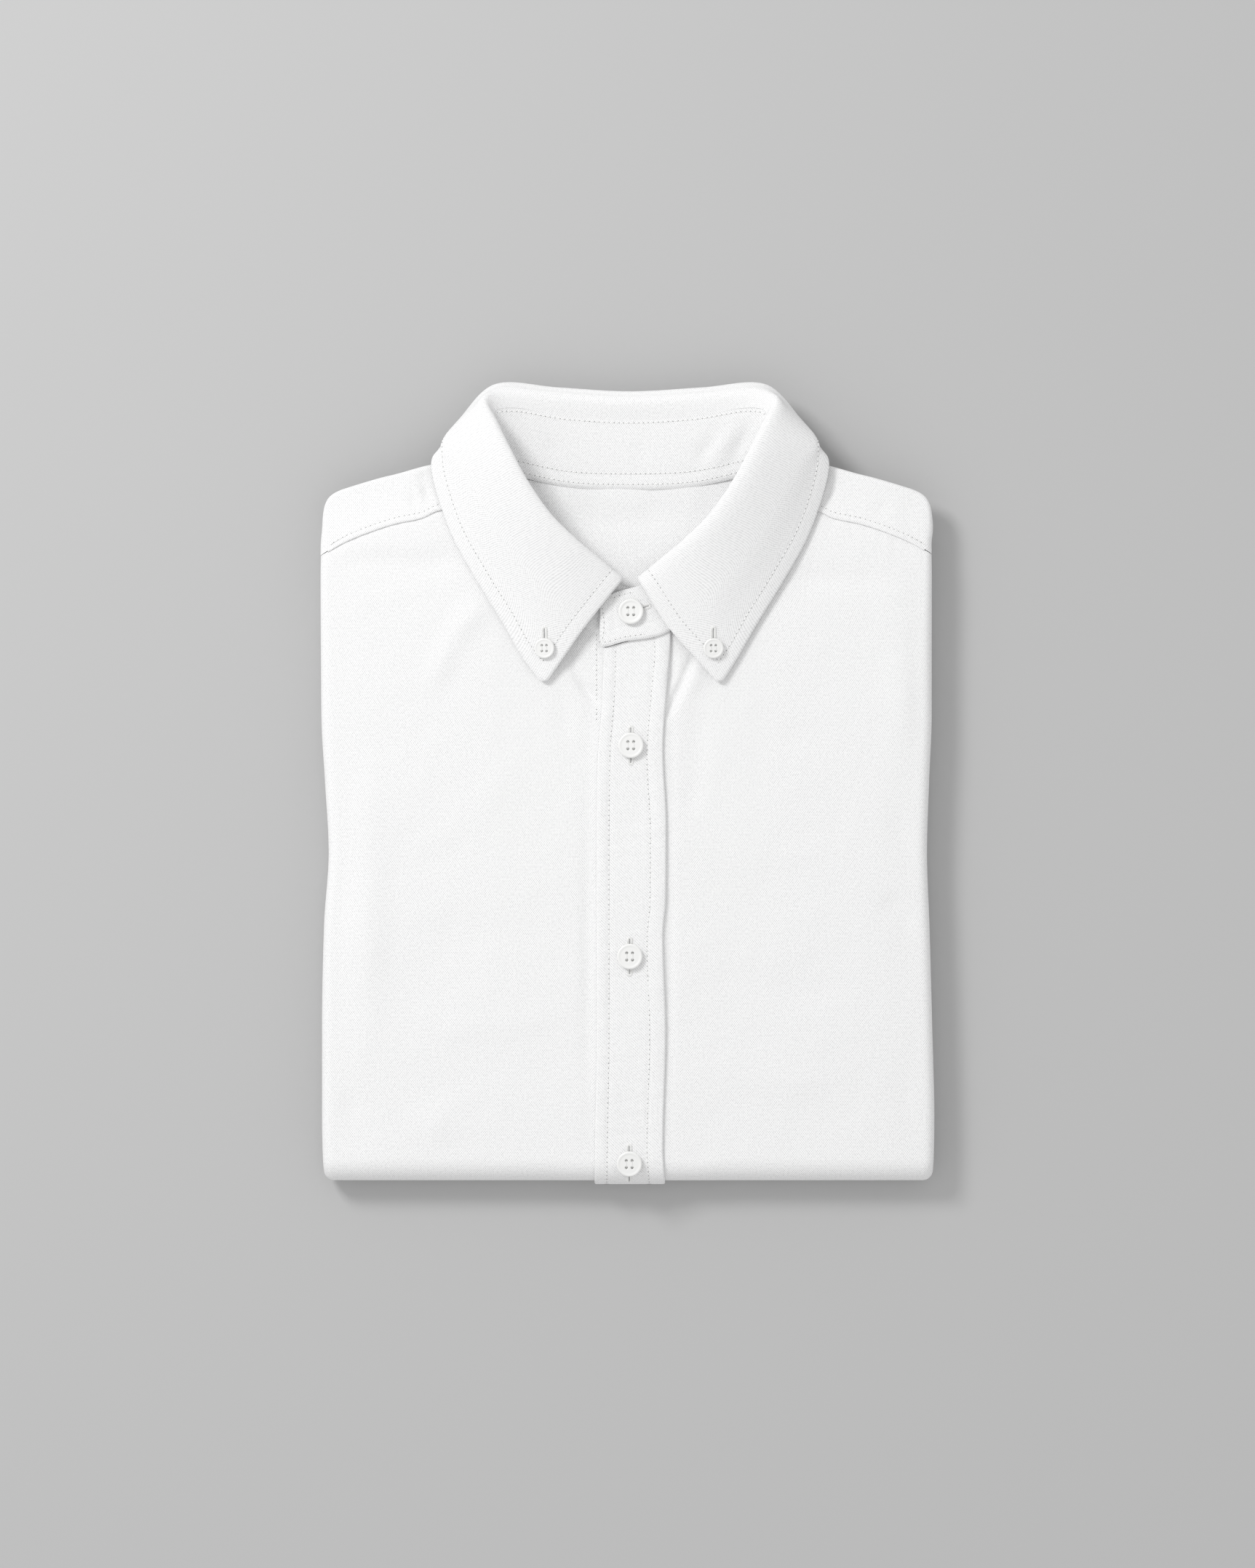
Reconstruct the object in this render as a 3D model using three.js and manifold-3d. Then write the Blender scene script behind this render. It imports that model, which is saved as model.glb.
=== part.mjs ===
// A folded long-sleeved button-down shirt, lying face up.
// Millimetres, +Z up, +Y towards the collar, X to the viewer's right; the origin is the middle of the
// footprint on the surface. The garment's sides, sleeves and tail are folded behind it, so the pack is
// two bundles of cloth, one above the other, joined round the bottom fold: the fronts, the placket and
// the button stand run down the upper bundle, round that fold and back along the underside.
import * as THREE from 'three';
import { mergeVertices } from 'three/addons/utils/BufferGeometryUtils.js';
import Module from 'manifold-3d';

const wasm = await Module();
wasm.setup();

// ---- driving dimensions ------------------------------------------------------------------------
const CLOTH = 1.2;             // body cloth with its seam allowances
const PLACKET_CLOTH = 1.4;     // two plies and an interlining
const COLLAR_CLOTH = 1.6;      // leaf and stand: two plies and an interlining
const SEAM_GAP = 0.3;          // clearance between neighbouring pieces
const PACK_HEIGHT = 20;        // top of the fronts above the surface
const SIDE_DROP = 0.6;         // the pack is lower by this at its sides
const SIDE_DROP_REACH = 22;
const SHOULDER_DROP = 2.6;     // and by this at the shoulders
const SHOULDER_DROP_REACH = 34;
const FOLD_FADE = { bottom: 26, sideStart: 5, side: 10 }; // folds fade out towards the edges
const BOTTOM_EDGE = -178.0;    // the bottom fold of the fronts
const TAIL_END = 112;          // where the turned-up tail ends on the underside
const TAIL_FOLD_RADIUS = 4.5;
const TAIL_TURN = 0.62;        // share of a half turn that the tail's end makes
const TAIL_CORNER_RADIUS = 1.9; // the side fold is pressed to this at the tail's corner
const TAIL_CORNER_SHARE = 0.16; // over this share of the underside
const BUNDLE_RADIUS = 4.5;     // half the depth of each bundle at its side folds
const YOKE_BUNDLE_RADIUS = 3.4;
const YOKE_SLOPE = { from: 60, length: 50 };               // where the bundle thins towards the yoke
const TUCK_LENGTH = 14;        // cloth turned in behind each side fold
const PLACKET_LIFT = PLACKET_CLOTH + SEAM_GAP;
const PLACKET_BED = { left: 8, right: 18, slope: 14 };    // the fronts' lift over the placket, underneath
const LAYERS_BED = { level: 52, slope: 40 };              // and the folded layers' lift over both
const STAND_LEFT = -14.5;      // the button stand's seam, just left of the placket
const STAND_RIGHT = 12.4;
const YOKE_BACK_END = 31;      // the yoke's hidden back seam
const YOKE_INNER_X = 66;       // where the yoke meets the neck seam at the shoulder
const YOKE_CORNER_X = 128;
const SHOULDER_FOLD_RADIUS = 1.7;
const FOLD_ROOM = 1.2;         // hidden room over the folded layers for the fronts' troughs
const FOLD_ROOM_SLOPE = 12;
const NECK_HOLLOW = 1.4;       // how far the back sinks within the neck opening
const NECK_HOLLOW_FADE = { level: 22, slope: 24, front: 66, frontSlope: 22, backSlope: 16 };
const SIDE_X = 130;            // a place near the side folds, where their radius is read
const CORE = { width: 220, length: 270, depth: 9.2, y: -31 }; // filling between the folded layers' two runs
const COLLAR_CENTRE_X = 1.2;
const LEAF_STATIONS = 44;
const LEAF_ROWS = 11;
const STAND_ROWS = 3;

// ---- tables ------------------------------------------------------------------------------------
// Side folds: X of the left and right edge of the pack along its length.
const SIDE_EDGES = [
  { y: 130, left: -137.0, right: 136.0 },
  { y: 100, left: -137.6, right: 136.4 },
  { y: 38, left: -137.3, right: 136.4 },
  { y: 5, left: -135.6, right: 135.2 },
  { y: -27, left: -134.0, right: 134.3 },
  { y: -60, left: -136.1, right: 135.4 },
  { y: -105, left: -137.0, right: 136.6 },
  { y: -150, left: -137.0, right: 137.6 },
  { y: -180, left: -136.2, right: 137.0 },
];

// Shoulder line and back neck seam: the far end of the pack, by distance from the middle.
const SHOULDER_LINE = [
  { x: 0, y: 131.6 },
  { x: 22, y: 132.2 },
  { x: 45, y: 135.0 },
  { x: 62, y: 141.5 },
  { x: 76, y: 144.4 },
  { x: 90, y: 143.0 },
  { x: 103, y: 139.2 },
  { x: 116, y: 135.8 },
  { x: 129, y: 131.8 },
  { x: 133.5, y: 129.2 },
  { x: 136.6, y: 121.0 },
  { x: 138, y: 112.0 },
];

// Top edge of the fronts: the neck seam from the middle outwards, then the yoke seam.
const FRONT_TOP = [
  { x: 0, y: 62.0 },
  { x: 13, y: 65.5 },
  { x: 24, y: 71.5 },
  { x: 34.5, y: 80.5 },
  { x: 45, y: 92.5 },
  { x: 54, y: 105.0 },
  { x: 60, y: 117.0 },
  { x: 66, y: 122.4 },
  { x: 74, y: 124.0 },
  { x: 85, y: 122.6 },
  { x: 92, y: 119.4 },
  { x: 104, y: 116.8 },
  { x: 116, y: 112.9 },
  { x: 128, y: 107.8 },
  { x: 138, y: 101.8 },
];

// The placket's two edges, which waver a little along its length.
const PLACKET_EDGES = [
  { y: 70, left: -11.2, right: 18.6 },
  { y: 60, left: -10.8, right: 19.4 },
  { y: 40, left: -11.4, right: 17.8 },
  { y: 12, left: -13.4, right: 15.9 },
  { y: -22, left: -13.8, right: 17.4 },
  { y: -53, left: -13.8, right: 17.2 },
  { y: -70, left: -13.8, right: 15.9 },
  { y: -112, left: -13.8, right: 17.1 },
  { y: -163, left: -14.6, right: 15.9 },
  { y: -180, left: -14.8, right: 17.0 },
];

// The largest soft folds of the fronts: troughs are negative, ridges positive.
const BODY_FOLDS = [
  { fromX: -132, fromY: 100, toX: -73, toY: 101, width: 6, height: -1.0 },
  { fromX: 71, fromY: 93, toX: 114, toY: 92, width: 6, height: -0.8 },
  { fromX: -63, fromY: 81, toX: -86, toY: 45, width: 6, height: 1.1 },
  { fromX: -114, fromY: 4, toX: -115, toY: -122, width: 9, height: 1.2 },
  { fromX: -23, fromY: 52, toX: -16, toY: 36, width: 4, height: -0.8 },
  { fromX: 28, fromY: 54, toX: 20, toY: 31, width: 4, height: -0.8 },
  { fromX: 33, fromY: 36, toX: 28, toY: -15, width: 6, height: -0.7 },
  { fromX: 115, fromY: -50, toX: 131, toY: -62, width: 6, height: -0.8 },
  { fromX: -72, fromY: -139, toX: -96, toY: -163, width: 9, height: 0.8 },
  { fromX: 122, fromY: 80, toX: 124, toY: 10, width: 9, height: 0.8 },
];

// Collar sections, from the front edge of a leaf to the middle of the back. Each point is [out, y, z],
// with out measured sideways from the collar's own middle: the neck seam, the seam of stand and leaf,
// the inner bend of the roll, the leaf where it turns down, and the leaf's outer edge.
const COLLAR_SECTIONS = [
  {
    neck: [13, 66.4, 21.3], seam: [5.6, 90.2, 21.9], roll: [6.6, 94.6, 25.6],
    turn: [22, 70, 26.0], edge: [39.4, 44, 22.3],
  },
  {
    neck: [24, 72.6, 21.4], seam: [15.8, 95.6, 24.4], roll: [15.8, 101.6, 29.2],
    turn: [32, 80, 28.0], edge: [48.2, 56.7, 21.8],
  },
  {
    neck: [34.5, 81.6, 21.5], seam: [25, 103.6, 27.4], roll: [24.5, 108.8, 32.0],
    turn: [41, 91, 29.5], edge: [57, 72, 21.7],
  },
  {
    neck: [45, 93.6, 21.6], seam: [36.6, 115.6, 30.0], roll: [36.3, 120.5, 34.6],
    turn: [54, 107, 30.5], edge: [69.2, 92, 21.6],
  },
  {
    neck: [54, 106, 21.6], seam: [47, 130, 31.0], roll: [46.5, 135.2, 35.8],
    turn: [65, 125, 31.0], edge: [80.5, 113, 21.2],
  },
  {
    neck: [60.5, 118, 21.4], seam: [54, 143.4, 30.4], roll: [53.7, 148.6, 35.4],
    turn: [74, 142, 29.5], edge: [88.4, 139.4, 20.4],
  },
  {
    neck: [63.5, 130, 20.6], seam: [58, 157, 27.6], roll: [60, 161, 32.4],
    turn: [82.6, 152, 23.0], edge: [84.6, 150.6, 13.5],
  },
  {
    neck: [60, 139.4, 18.2], seam: [61, 166.4, 24.4], roll: [65, 171.5, 27.6],
    turn: [75.6, 163.4, 16.5], edge: [72, 153, 6.0],
  },
  {
    neck: [50, 137.6, 16.4], seam: [51, 168.3, 21.0], roll: [57, 174.6, 22.2],
    turn: [59.6, 177.6, 14.5], edge: [54, 149, 3.8],
  },
  {
    neck: [27, 133.0, 15.3], seam: [29, 164.9, 18.6], roll: [31, 172.4, 19.6],
    turn: [32, 176.0, 13.6], edge: [30, 146, 3.4],
  },
  {
    neck: [0, 131.9, 15.0], seam: [0, 163.3, 17.6], roll: [0, 170.8, 18.8],
    turn: [0, 174.3, 13.2], edge: [0, 145, 3.2],
  },
];
const COLLAR_LAP = 1.5;        // the buttoned ends part by this much, above and below, at the front

// The stand's two ends past the leaves: the button end runs under, the buttonhole end over it.
const STAND_UNDER_END = [
  { neck: [2, 65.6, 19.8], seam: [4, 88.0, 19.8] },
  { neck: [14, 69.0, 19.8], seam: [13, 88.6, 19.8] },
];
const STAND_OVER_END = [
  { neck: [-1, 63.8, 22.9], seam: [-3.4, 86.6, 22.9] },
  { neck: [-8, 62.0, 22.9], seam: [-8.6, 84.2, 22.9] },
  { neck: [-11.6, 64.6, 22.9], seam: [-11.8, 81.0, 22.9] },
  { neck: [-12.5, 69.4, 22.9], seam: [-12.5, 76.6, 22.9] },
];

// Sewn-on four-hole buttons.
const SHIRT_BUTTON = { radius: 5.7, height: 2.4, rim: 1.1, holeRadius: 0.8, holeSpread: 1.4, sides: 24 };
const POINT_BUTTON = { radius: 4.55, height: 2.0, rim: 0.9, holeRadius: 0.65, holeSpread: 1.15, sides: 20 };
const PLACKET_BUTTONS = [{ x: 1.5, y: 17.3 }, { x: 1.0, y: -77.2 }, { x: 0.8, y: -169.9 }];
const STAND_BUTTON = { x: 1.5, y: 77.2, z: 23.7 };
const POINT_BUTTONS = [{ side: 'left', x: -37.0, y: 60.9 }, { side: 'right', x: 38.3, y: 60.9 }];

// ---- small mathematics -------------------------------------------------------------------------
const clamp = (value, low, high) => Math.min(high, Math.max(low, value));
const lerp = (from, to, share) => from + (to - from) * share;
const ease = (share) => {
  const held = clamp(share, 0, 1);
  return held * held * (3 - 2 * held);
};
const steps = (count) => Array.from({ length: count + 1 }, (_, index) => index / count);

function catmull(before, from, to, after, share) {
  const square = share * share;
  const cube = square * share;
  return 0.5 * (2 * from + (to - before) * share + (2 * before - 5 * from + 4 * to - after) * square
    + (3 * from - before - 3 * to + after) * cube);
}

// A table's column read at any place of its key column, smooth between the rows.
function readTable(rows, key, column, place) {
  const rising = rows[0][key] < rows[rows.length - 1][key];
  const list = rising ? rows : [...rows].reverse();
  const held = clamp(place, list[0][key], list[list.length - 1][key]);
  const next = clamp(list.findIndex((row) => row[key] >= held), 1, list.length - 1);
  const share = (held - list[next - 1][key]) / (list[next][key] - list[next - 1][key]);
  return lerp(list[next - 1][column], list[next][column], ease(share) * 0.5 + share * 0.5);
}

// A smooth curve through control points, at a share of its length in rows.
function alongRows(points, share) {
  const reach = clamp(share, 0, 1) * (points.length - 1);
  const index = Math.min(Math.floor(reach), points.length - 2);
  const pick = (offset) => points[clamp(index + offset, 0, points.length - 1)];
  return [0, 1, 2].map((axis) => catmull(
    pick(-1)[axis], pick(0)[axis], pick(1)[axis], pick(2)[axis], reach - index));
}

// ---- meshes ------------------------------------------------------------------------------------
function geometryOf(vertices, triangles) {
  const geometry = new THREE.BufferGeometry();
  geometry.setAttribute('position', new THREE.Float32BufferAttribute(vertices.flat(), 3));
  geometry.setIndex(triangles.flat());
  return geometry;
}

// A closed wall between an outer and an inner grid of points with the same rows and columns.
function wall(outer, inner) {
  const rows = outer.length;
  const columns = outer[0].length;
  const last = rows - 1;
  const far = columns - 1;
  const vertices = [...outer.flat(), ...inner.flat()];
  const at = (row, column, layer) => (layer * rows + row) * columns + column;
  const triangles = [];
  const quad = (a, b, c, d) => triangles.push([a, b, c], [a, c, d]);
  for (let row = 0; row + 1 < rows; row += 1) {
    for (let column = 0; column + 1 < columns; column += 1) {
      quad(at(row, column, 0), at(row, column + 1, 0), at(row + 1, column + 1, 0), at(row + 1, column, 0));
      quad(at(row, column, 1), at(row + 1, column, 1), at(row + 1, column + 1, 1), at(row, column + 1, 1));
    }
    quad(at(row, 0, 0), at(row + 1, 0, 0), at(row + 1, 0, 1), at(row, 0, 1));
    quad(at(row, far, 0), at(row, far, 1), at(row + 1, far, 1), at(row + 1, far, 0));
  }
  for (let column = 0; column + 1 < columns; column += 1) {
    quad(at(0, column, 0), at(0, column, 1), at(0, column + 1, 1), at(0, column + 1, 0));
    quad(at(last, column, 0), at(last, column + 1, 0), at(last, column + 1, 1), at(last, column, 1));
  }
  return facingOut(geometryOf(vertices, triangles));
}

// A closed body through rings of points, with a flat cap on the first and the last ring.
function loft(rings) {
  const count = rings[0].length;
  const triangles = [];
  for (let ring = 0; ring + 1 < rings.length; ring += 1) {
    for (let point = 0; point < count; point += 1) {
      const next = (point + 1) % count;
      const low = ring * count;
      triangles.push([low + point, low + next, low + count + next]);
      triangles.push([low + point, low + count + next, low + count + point]);
    }
  }
  const last = (rings.length - 1) * count;
  for (let point = 0; point * 2 + 2 < count; point += 1) {
    const far = count - 1 - point;
    const near = [point, point + 1, far - 1, far];
    for (const [base, turned] of [[0, true], [last, false]]) {
      const [a, b, c, d] = near.map((index) => base + index);
      const pair = c === b ? [[a, b, d]] : [[a, b, c], [a, c, d]];
      triangles.push(...pair.map(([i, j, k]) => (turned ? [k, j, i] : [i, j, k])));
    }
  }
  return facingOut(geometryOf(rings.flat(), triangles));
}

function facingOut(geometry) {
  const position = geometry.attributes.position;
  const index = geometry.index.array;
  const corner = [new THREE.Vector3(), new THREE.Vector3(), new THREE.Vector3()];
  let volume = 0;
  for (let face = 0; face < index.length; face += 3) {
    corner.forEach((point, place) => point.fromBufferAttribute(position, index[face + place]));
    volume += corner[0].dot(corner[1].clone().cross(corner[2]));
  }
  if (volume < 0) {
    for (let face = 0; face < index.length; face += 3) {
      [index[face + 1], index[face + 2]] = [index[face + 2], index[face + 1]];
    }
  }
  return geometry;
}

function toSolid(geometry) {
  const bare = geometry.clone();
  bare.deleteAttribute('normal');
  bare.deleteAttribute('uv');
  const merged = mergeVertices(bare, 1e-4);
  return new wasm.Manifold(new wasm.Mesh({
    numProp: 3,
    vertProperties: new Float32Array(merged.attributes.position.array),
    triVerts: new Uint32Array(merged.index.array),
  }));
}

function fromSolid(solid) {
  const mesh = solid.getMesh();
  const geometry = new THREE.BufferGeometry();
  geometry.setAttribute('position', new THREE.Float32BufferAttribute(mesh.vertProperties, 3));
  geometry.setIndex(Array.from(mesh.triVerts));
  return geometry;
}

// ---- the pack's surface ------------------------------------------------------------------------
const sideEdge = (side, y) => readTable(SIDE_EDGES, 'y', side, y);
const shoulderLine = (x) => readTable(SHOULDER_LINE, 'x', 'y', Math.abs(x));
const frontTop = (x) => readTable(FRONT_TOP, 'x', 'y', Math.abs(x));

// The share of a soft fold felt at a point: full on its line, fading to nothing past its ends.
function foldShare(fold, x, y) {
  const alongX = fold.toX - fold.fromX;
  const alongY = fold.toY - fold.fromY;
  const length = Math.hypot(alongX, alongY);
  const along = ((x - fold.fromX) * alongX + (y - fold.fromY) * alongY) / length;
  const across = ((x - fold.fromX) * alongY - (y - fold.fromY) * alongX) / length;
  const past = Math.max(0, -along, along - length);
  return Math.exp(-((across / fold.width) ** 2)) * Math.exp(-((past / (fold.width * 1.5)) ** 2));
}

const fromSide = (x, y) => Math.abs(sideEdge(x < 0 ? 'left' : 'right', y)) - Math.abs(x);

// Height of the fronts and yoke without their folds: level, lower by the sides and at the shoulder.
function calmHeight(x, y) {
  const sideDrop = SIDE_DROP * (1 - ease(fromSide(x, y) / SIDE_DROP_REACH));
  const shoulderDrop = SHOULDER_DROP * (1 - ease((shoulderLine(x) - y) / SHOULDER_DROP_REACH));
  return PACK_HEIGHT - sideDrop - shoulderDrop;
}

function topHeight(x, y) {
  const folds = BODY_FOLDS.reduce((sum, fold) => sum + fold.height * foldShare(fold, x, y), 0);
  const felt = ease((y - BOTTOM_EDGE) / FOLD_FADE.bottom)
    * ease((fromSide(x, y) - FOLD_FADE.sideStart) / FOLD_FADE.side);
  return calmHeight(x, y) + folds * felt;
}

// The underside is flat; under the placket the fronts lift by its thickness, so that both lie flat.
function undersideHeight(x) {
  const reach = Math.max(STAND_LEFT - PLACKET_BED.left - x, x - (STAND_RIGHT + PLACKET_BED.right), 0);
  return PLACKET_LIFT * (1 - ease(reach / PLACKET_BED.slope));
}

// The folded layers stay above that lift over a wider band.
function layersUnderside(x) {
  return PLACKET_LIFT * (1 - ease((Math.abs(x) - LAYERS_BED.level) / LAYERS_BED.slope));
}

const SKIN = { top: topHeight, under: undersideHeight };

// Places along a lengthwise line of the pack: down the top, round the bottom fold, back underneath.
const TOP_STEPS = steps(15).map((share) => share ** 0.94);
const FOLD_STEPS = steps(7).slice(1);
const UNDER_STEPS = steps(8).slice(1);
const TAIL_STEPS = steps(4).slice(1);
const PATH = [
  ...TOP_STEPS.map((share) => ({ run: 'top', share })),
  ...FOLD_STEPS.map((share) => ({ run: 'fold', share })),
  ...UNDER_STEPS.map((share) => ({ run: 'under', share })),
  ...TAIL_STEPS.map((share) => ({ run: 'tail', share })),
];

// A place on the pack's outer surface with its outward direction in the YZ plane.
function pathPlace(x, place, topY, faces = SKIN) {
  const low = faces.under(x);
  const endHeight = faces.top(x, BOTTOM_EDGE + PACK_HEIGHT / 2);
  const radius = (endHeight - low) / 2;
  const foldY = BOTTOM_EDGE + radius;
  if (place.run === 'top') {
    const y = lerp(topY, foldY, place.share);
    return { y, z: faces.top(x, y), normalY: 0, normalZ: 1 };
  }
  if (place.run === 'fold') {
    const angle = place.share * Math.PI;
    return {
      y: foldY - radius * Math.sin(angle),
      z: low + radius * (1 + Math.cos(angle)),
      normalY: -Math.sin(angle),
      normalZ: Math.cos(angle),
    };
  }
  if (place.run === 'under') {
    return { y: lerp(foldY, TAIL_END, place.share), z: low, normalY: 0, normalZ: -1 };
  }
  const angle = place.share * Math.PI * TAIL_TURN;
  return {
    y: TAIL_END + TAIL_FOLD_RADIUS * Math.sin(angle),
    z: low + TAIL_FOLD_RADIUS * (1 - Math.cos(angle)),
    normalY: Math.sin(angle),
    normalZ: -Math.cos(angle),
  };
}

// Radius of the side fold there: smaller by the yoke and where the tail's corner is pressed in.
function sideRadius(place, y) {
  if (place.run === 'top' || place.run === 'fold') {
    return lerp(BUNDLE_RADIUS, YOKE_BUNDLE_RADIUS, ease((y - YOKE_SLOPE.from) / YOKE_SLOPE.length));
  }
  const toTail = place.run === 'under' ? 1 - place.share : 0;
  return lerp(TAIL_CORNER_RADIUS, BUNDLE_RADIUS, ease(toTail / TAIL_CORNER_SHARE));
}

// Columns across a front: flat cloth, the side fold's half turn, and the part tucked in behind.
const ARC_COLUMNS = steps(6).slice(1).map((share) => ({ part: 'arc', share }));
const TUCK_COLUMNS = steps(2).slice(1).map((share) => ({ part: 'tuck', share }));
const flatColumns = (places) => [...places, null].map((out) => ({ part: 'flat', out }));

// A point of the pack's skin: a column across, a place along, and how far out of the surface.
function skinPoint(side, column, place, lift, topAt) {
  const sign = side === 'left' ? -1 : 1;
  const guess = pathPlace(sign * SIDE_X, place, topAt(sign * SIDE_X));
  const edge = Math.abs(sideEdge(side, guess.y));
  const radius = sideRadius(place, guess.y);
  const flatEnd = edge - radius;
  let out = flatEnd;
  let depth = lift;
  if (column.part === 'flat') {
    out = column.out ?? flatEnd;
  } else if (column.part === 'arc') {
    const angle = column.share * Math.PI;
    out = flatEnd + (radius + lift) * Math.sin(angle);
    depth = -radius + (radius + lift) * Math.cos(angle);
  } else {
    out = flatEnd - TUCK_LENGTH * column.share;
    depth = -2 * radius - lift;
  }
  const x = sign * out;
  const held = column.part === 'flat' ? x : sign * flatEnd;
  const base = pathPlace(held, place, topAt(x));
  return [x, base.y + base.normalY * depth, base.z + base.normalZ * depth];
}

// ---- body pieces -------------------------------------------------------------------------------
function front(side, inner) {
  const outward = FRONT_TOP.map((row) => row.x).filter((x) => x > inner + 2 && x <= YOKE_CORNER_X);
  const columns = [...flatColumns([inner, ...outward]), ...ARC_COLUMNS, ...TUCK_COLUMNS];
  const grid = (lift) => columns.map((column) => PATH.map(
    (place) => skinPoint(side, column, place, lift, frontTop)));
  return wall(grid(0), grid(-CLOTH));
}

// A strip down the middle of the fronts, between two edges and two offsets from their surface.
function strip(leftEdge, rightEdge, topAt, low, high, count) {
  const grid = (lift) => steps(count).map((share) => PATH.map((place) => {
    const middle = pathPlace(0, place, topAt(0));
    const x = lerp(leftEdge(middle.y), rightEdge(middle.y), share);
    const base = pathPlace(x, place, topAt(x));
    return [x, base.y + base.normalY * lift, base.z + base.normalZ * lift];
  }));
  return wall(grid(high), grid(low));
}

function buttonStand() {
  return strip(() => STAND_LEFT, () => STAND_RIGHT, frontTop, -CLOTH, 0, 3);
}

// The placket's top edge follows the lower edge of the buttoned stand.
function placket() {
  const topAt = (x) => 60.6 + 0.29 * (x + 11);
  const edge = (column) => (y) => readTable(PLACKET_EDGES, 'y', column, y);
  return strip(edge('left'), edge('right'), topAt, SEAM_GAP, PLACKET_LIFT, 4);
}

// The neck opening's floor: the inside of the back yoke sinks a little between the collar's sides.
function neckHollow(x, y) {
  const fade = NECK_HOLLOW_FADE;
  const across = 1 - ease((Math.abs(x) - fade.level) / fade.slope);
  const along = ease((y - fade.front) / fade.frontSlope) * ease((shoulderLine(x) - y) / fade.backSlope);
  return NECK_HOLLOW * across * along;
}

// Top cloth of the yoke from its front seam over the shoulder fold, then the back layer inwards.
function yokeShoulder(side) {
  const sign = side === 'left' ? -1 : 1;
  const columns = FRONT_TOP.map((row) => row.x).filter((x) => x >= YOKE_INNER_X && x <= YOKE_CORNER_X);
  const grid = (lift) => columns.map((out) => {
    const x = sign * out;
    const end = shoulderLine(x) - SHOULDER_FOLD_RADIUS;
    const seam = frontTop(x) + SEAM_GAP;
    const zEnd = topHeight(x, end);
    const overTop = steps(3).map((share) => {
      const y = lerp(seam, end, share);
      return [x, y, topHeight(x, y) + lift];
    });
    const round = steps(5).slice(1).map((share) => {
      const angle = share * Math.PI;
      const radius = SHOULDER_FOLD_RADIUS + lift;
      return [x, end + radius * Math.sin(angle), zEnd - SHOULDER_FOLD_RADIUS + radius * Math.cos(angle)];
    });
    const back = steps(3).slice(1).map((share) => {
      const y = lerp(end, YOKE_BACK_END, share);
      return [x, y, topHeight(x, y) - 2 * SHOULDER_FOLD_RADIUS - lift];
    });
    return [...overTop, ...round, ...back];
  });
  return wall(grid(0), grid(-CLOTH));
}

// The yoke's corner, which turns round the side fold as the fronts do.
function yokeSide(side) {
  const columns = [...flatColumns([YOKE_CORNER_X - 2]), ...ARC_COLUMNS, ...TUCK_COLUMNS];
  const grid = (lift) => columns.map((column) => steps(4).map((share) => {
    const topAt = (x) => lerp(frontTop(x) + 2 * SEAM_GAP, shoulderLine(x) - SHOULDER_FOLD_RADIUS, share);
    return skinPoint(side, column, { run: 'top', share: 0 }, lift, topAt);
  }));
  return wall(grid(0), grid(-CLOTH));
}

// The back layer across the neck, whose inner face is seen inside the collar.
function yokeBack() {
  const high = -2 * SHOULDER_FOLD_RADIUS + CLOTH;
  const grid = (lift) => steps(14).map((across) => {
    const x = lerp(-YOKE_INNER_X - 2, YOKE_INNER_X + 2, across);
    const end = shoulderLine(x) - SHOULDER_FOLD_RADIUS * ease((Math.abs(x) - 52) / 12);
    return steps(7).map((share) => {
      const y = lerp(YOKE_BACK_END, end, share);
      return [x, y, topHeight(x, y) + lift - neckHollow(x, y)];
    });
  });
  return wall(grid(high), grid(high - CLOTH));
}

function yoke() {
  return fromSolid([yokeShoulder('left'), yokeShoulder('right'), yokeSide('left'), yokeSide('right')]
    .map(toSolid).reduce((sum, solid) => sum.add(solid), toSolid(yokeBack())));
}

// ---- the folded layers -------------------------------------------------------------------------
// Back, sides, sleeves and tail lie folded inside: a rounded slab that turns round the bottom fold
// within the fronts' own folds, and a core between its two runs that stops short of the sides.
const LAYERS = { top: calmHeight, under: layersUnderside };
const LAYER_END_ROOM = 5;      // between the layers' end and the shoulder line
const LAYER_COLUMNS = 10;
const LAYER_CORNER = { from: 110, length: 20 };
const LAYER_RADIUS_Y = 129.4;  // where the end's side radius is read
const LEAST_HALF_DEPTH = 0.4;
const LAYER_GAP = 0.5;         // clearance to the cloth folded round them
const BELOW_YOKE = { room: 26, slope: 10 };
const LAYER_NOSE = { share: 0.05, least: 0.55 };

// The layers' far end, held back a little more at the rounded corners.
function layersTop(x) {
  const outer = ease((Math.abs(x) - LAYER_CORNER.from) / LAYER_CORNER.length);
  return shoulderLine(Math.abs(x) + YOKE_BUNDLE_RADIUS * outer) - LAYER_END_ROOM;
}

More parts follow.
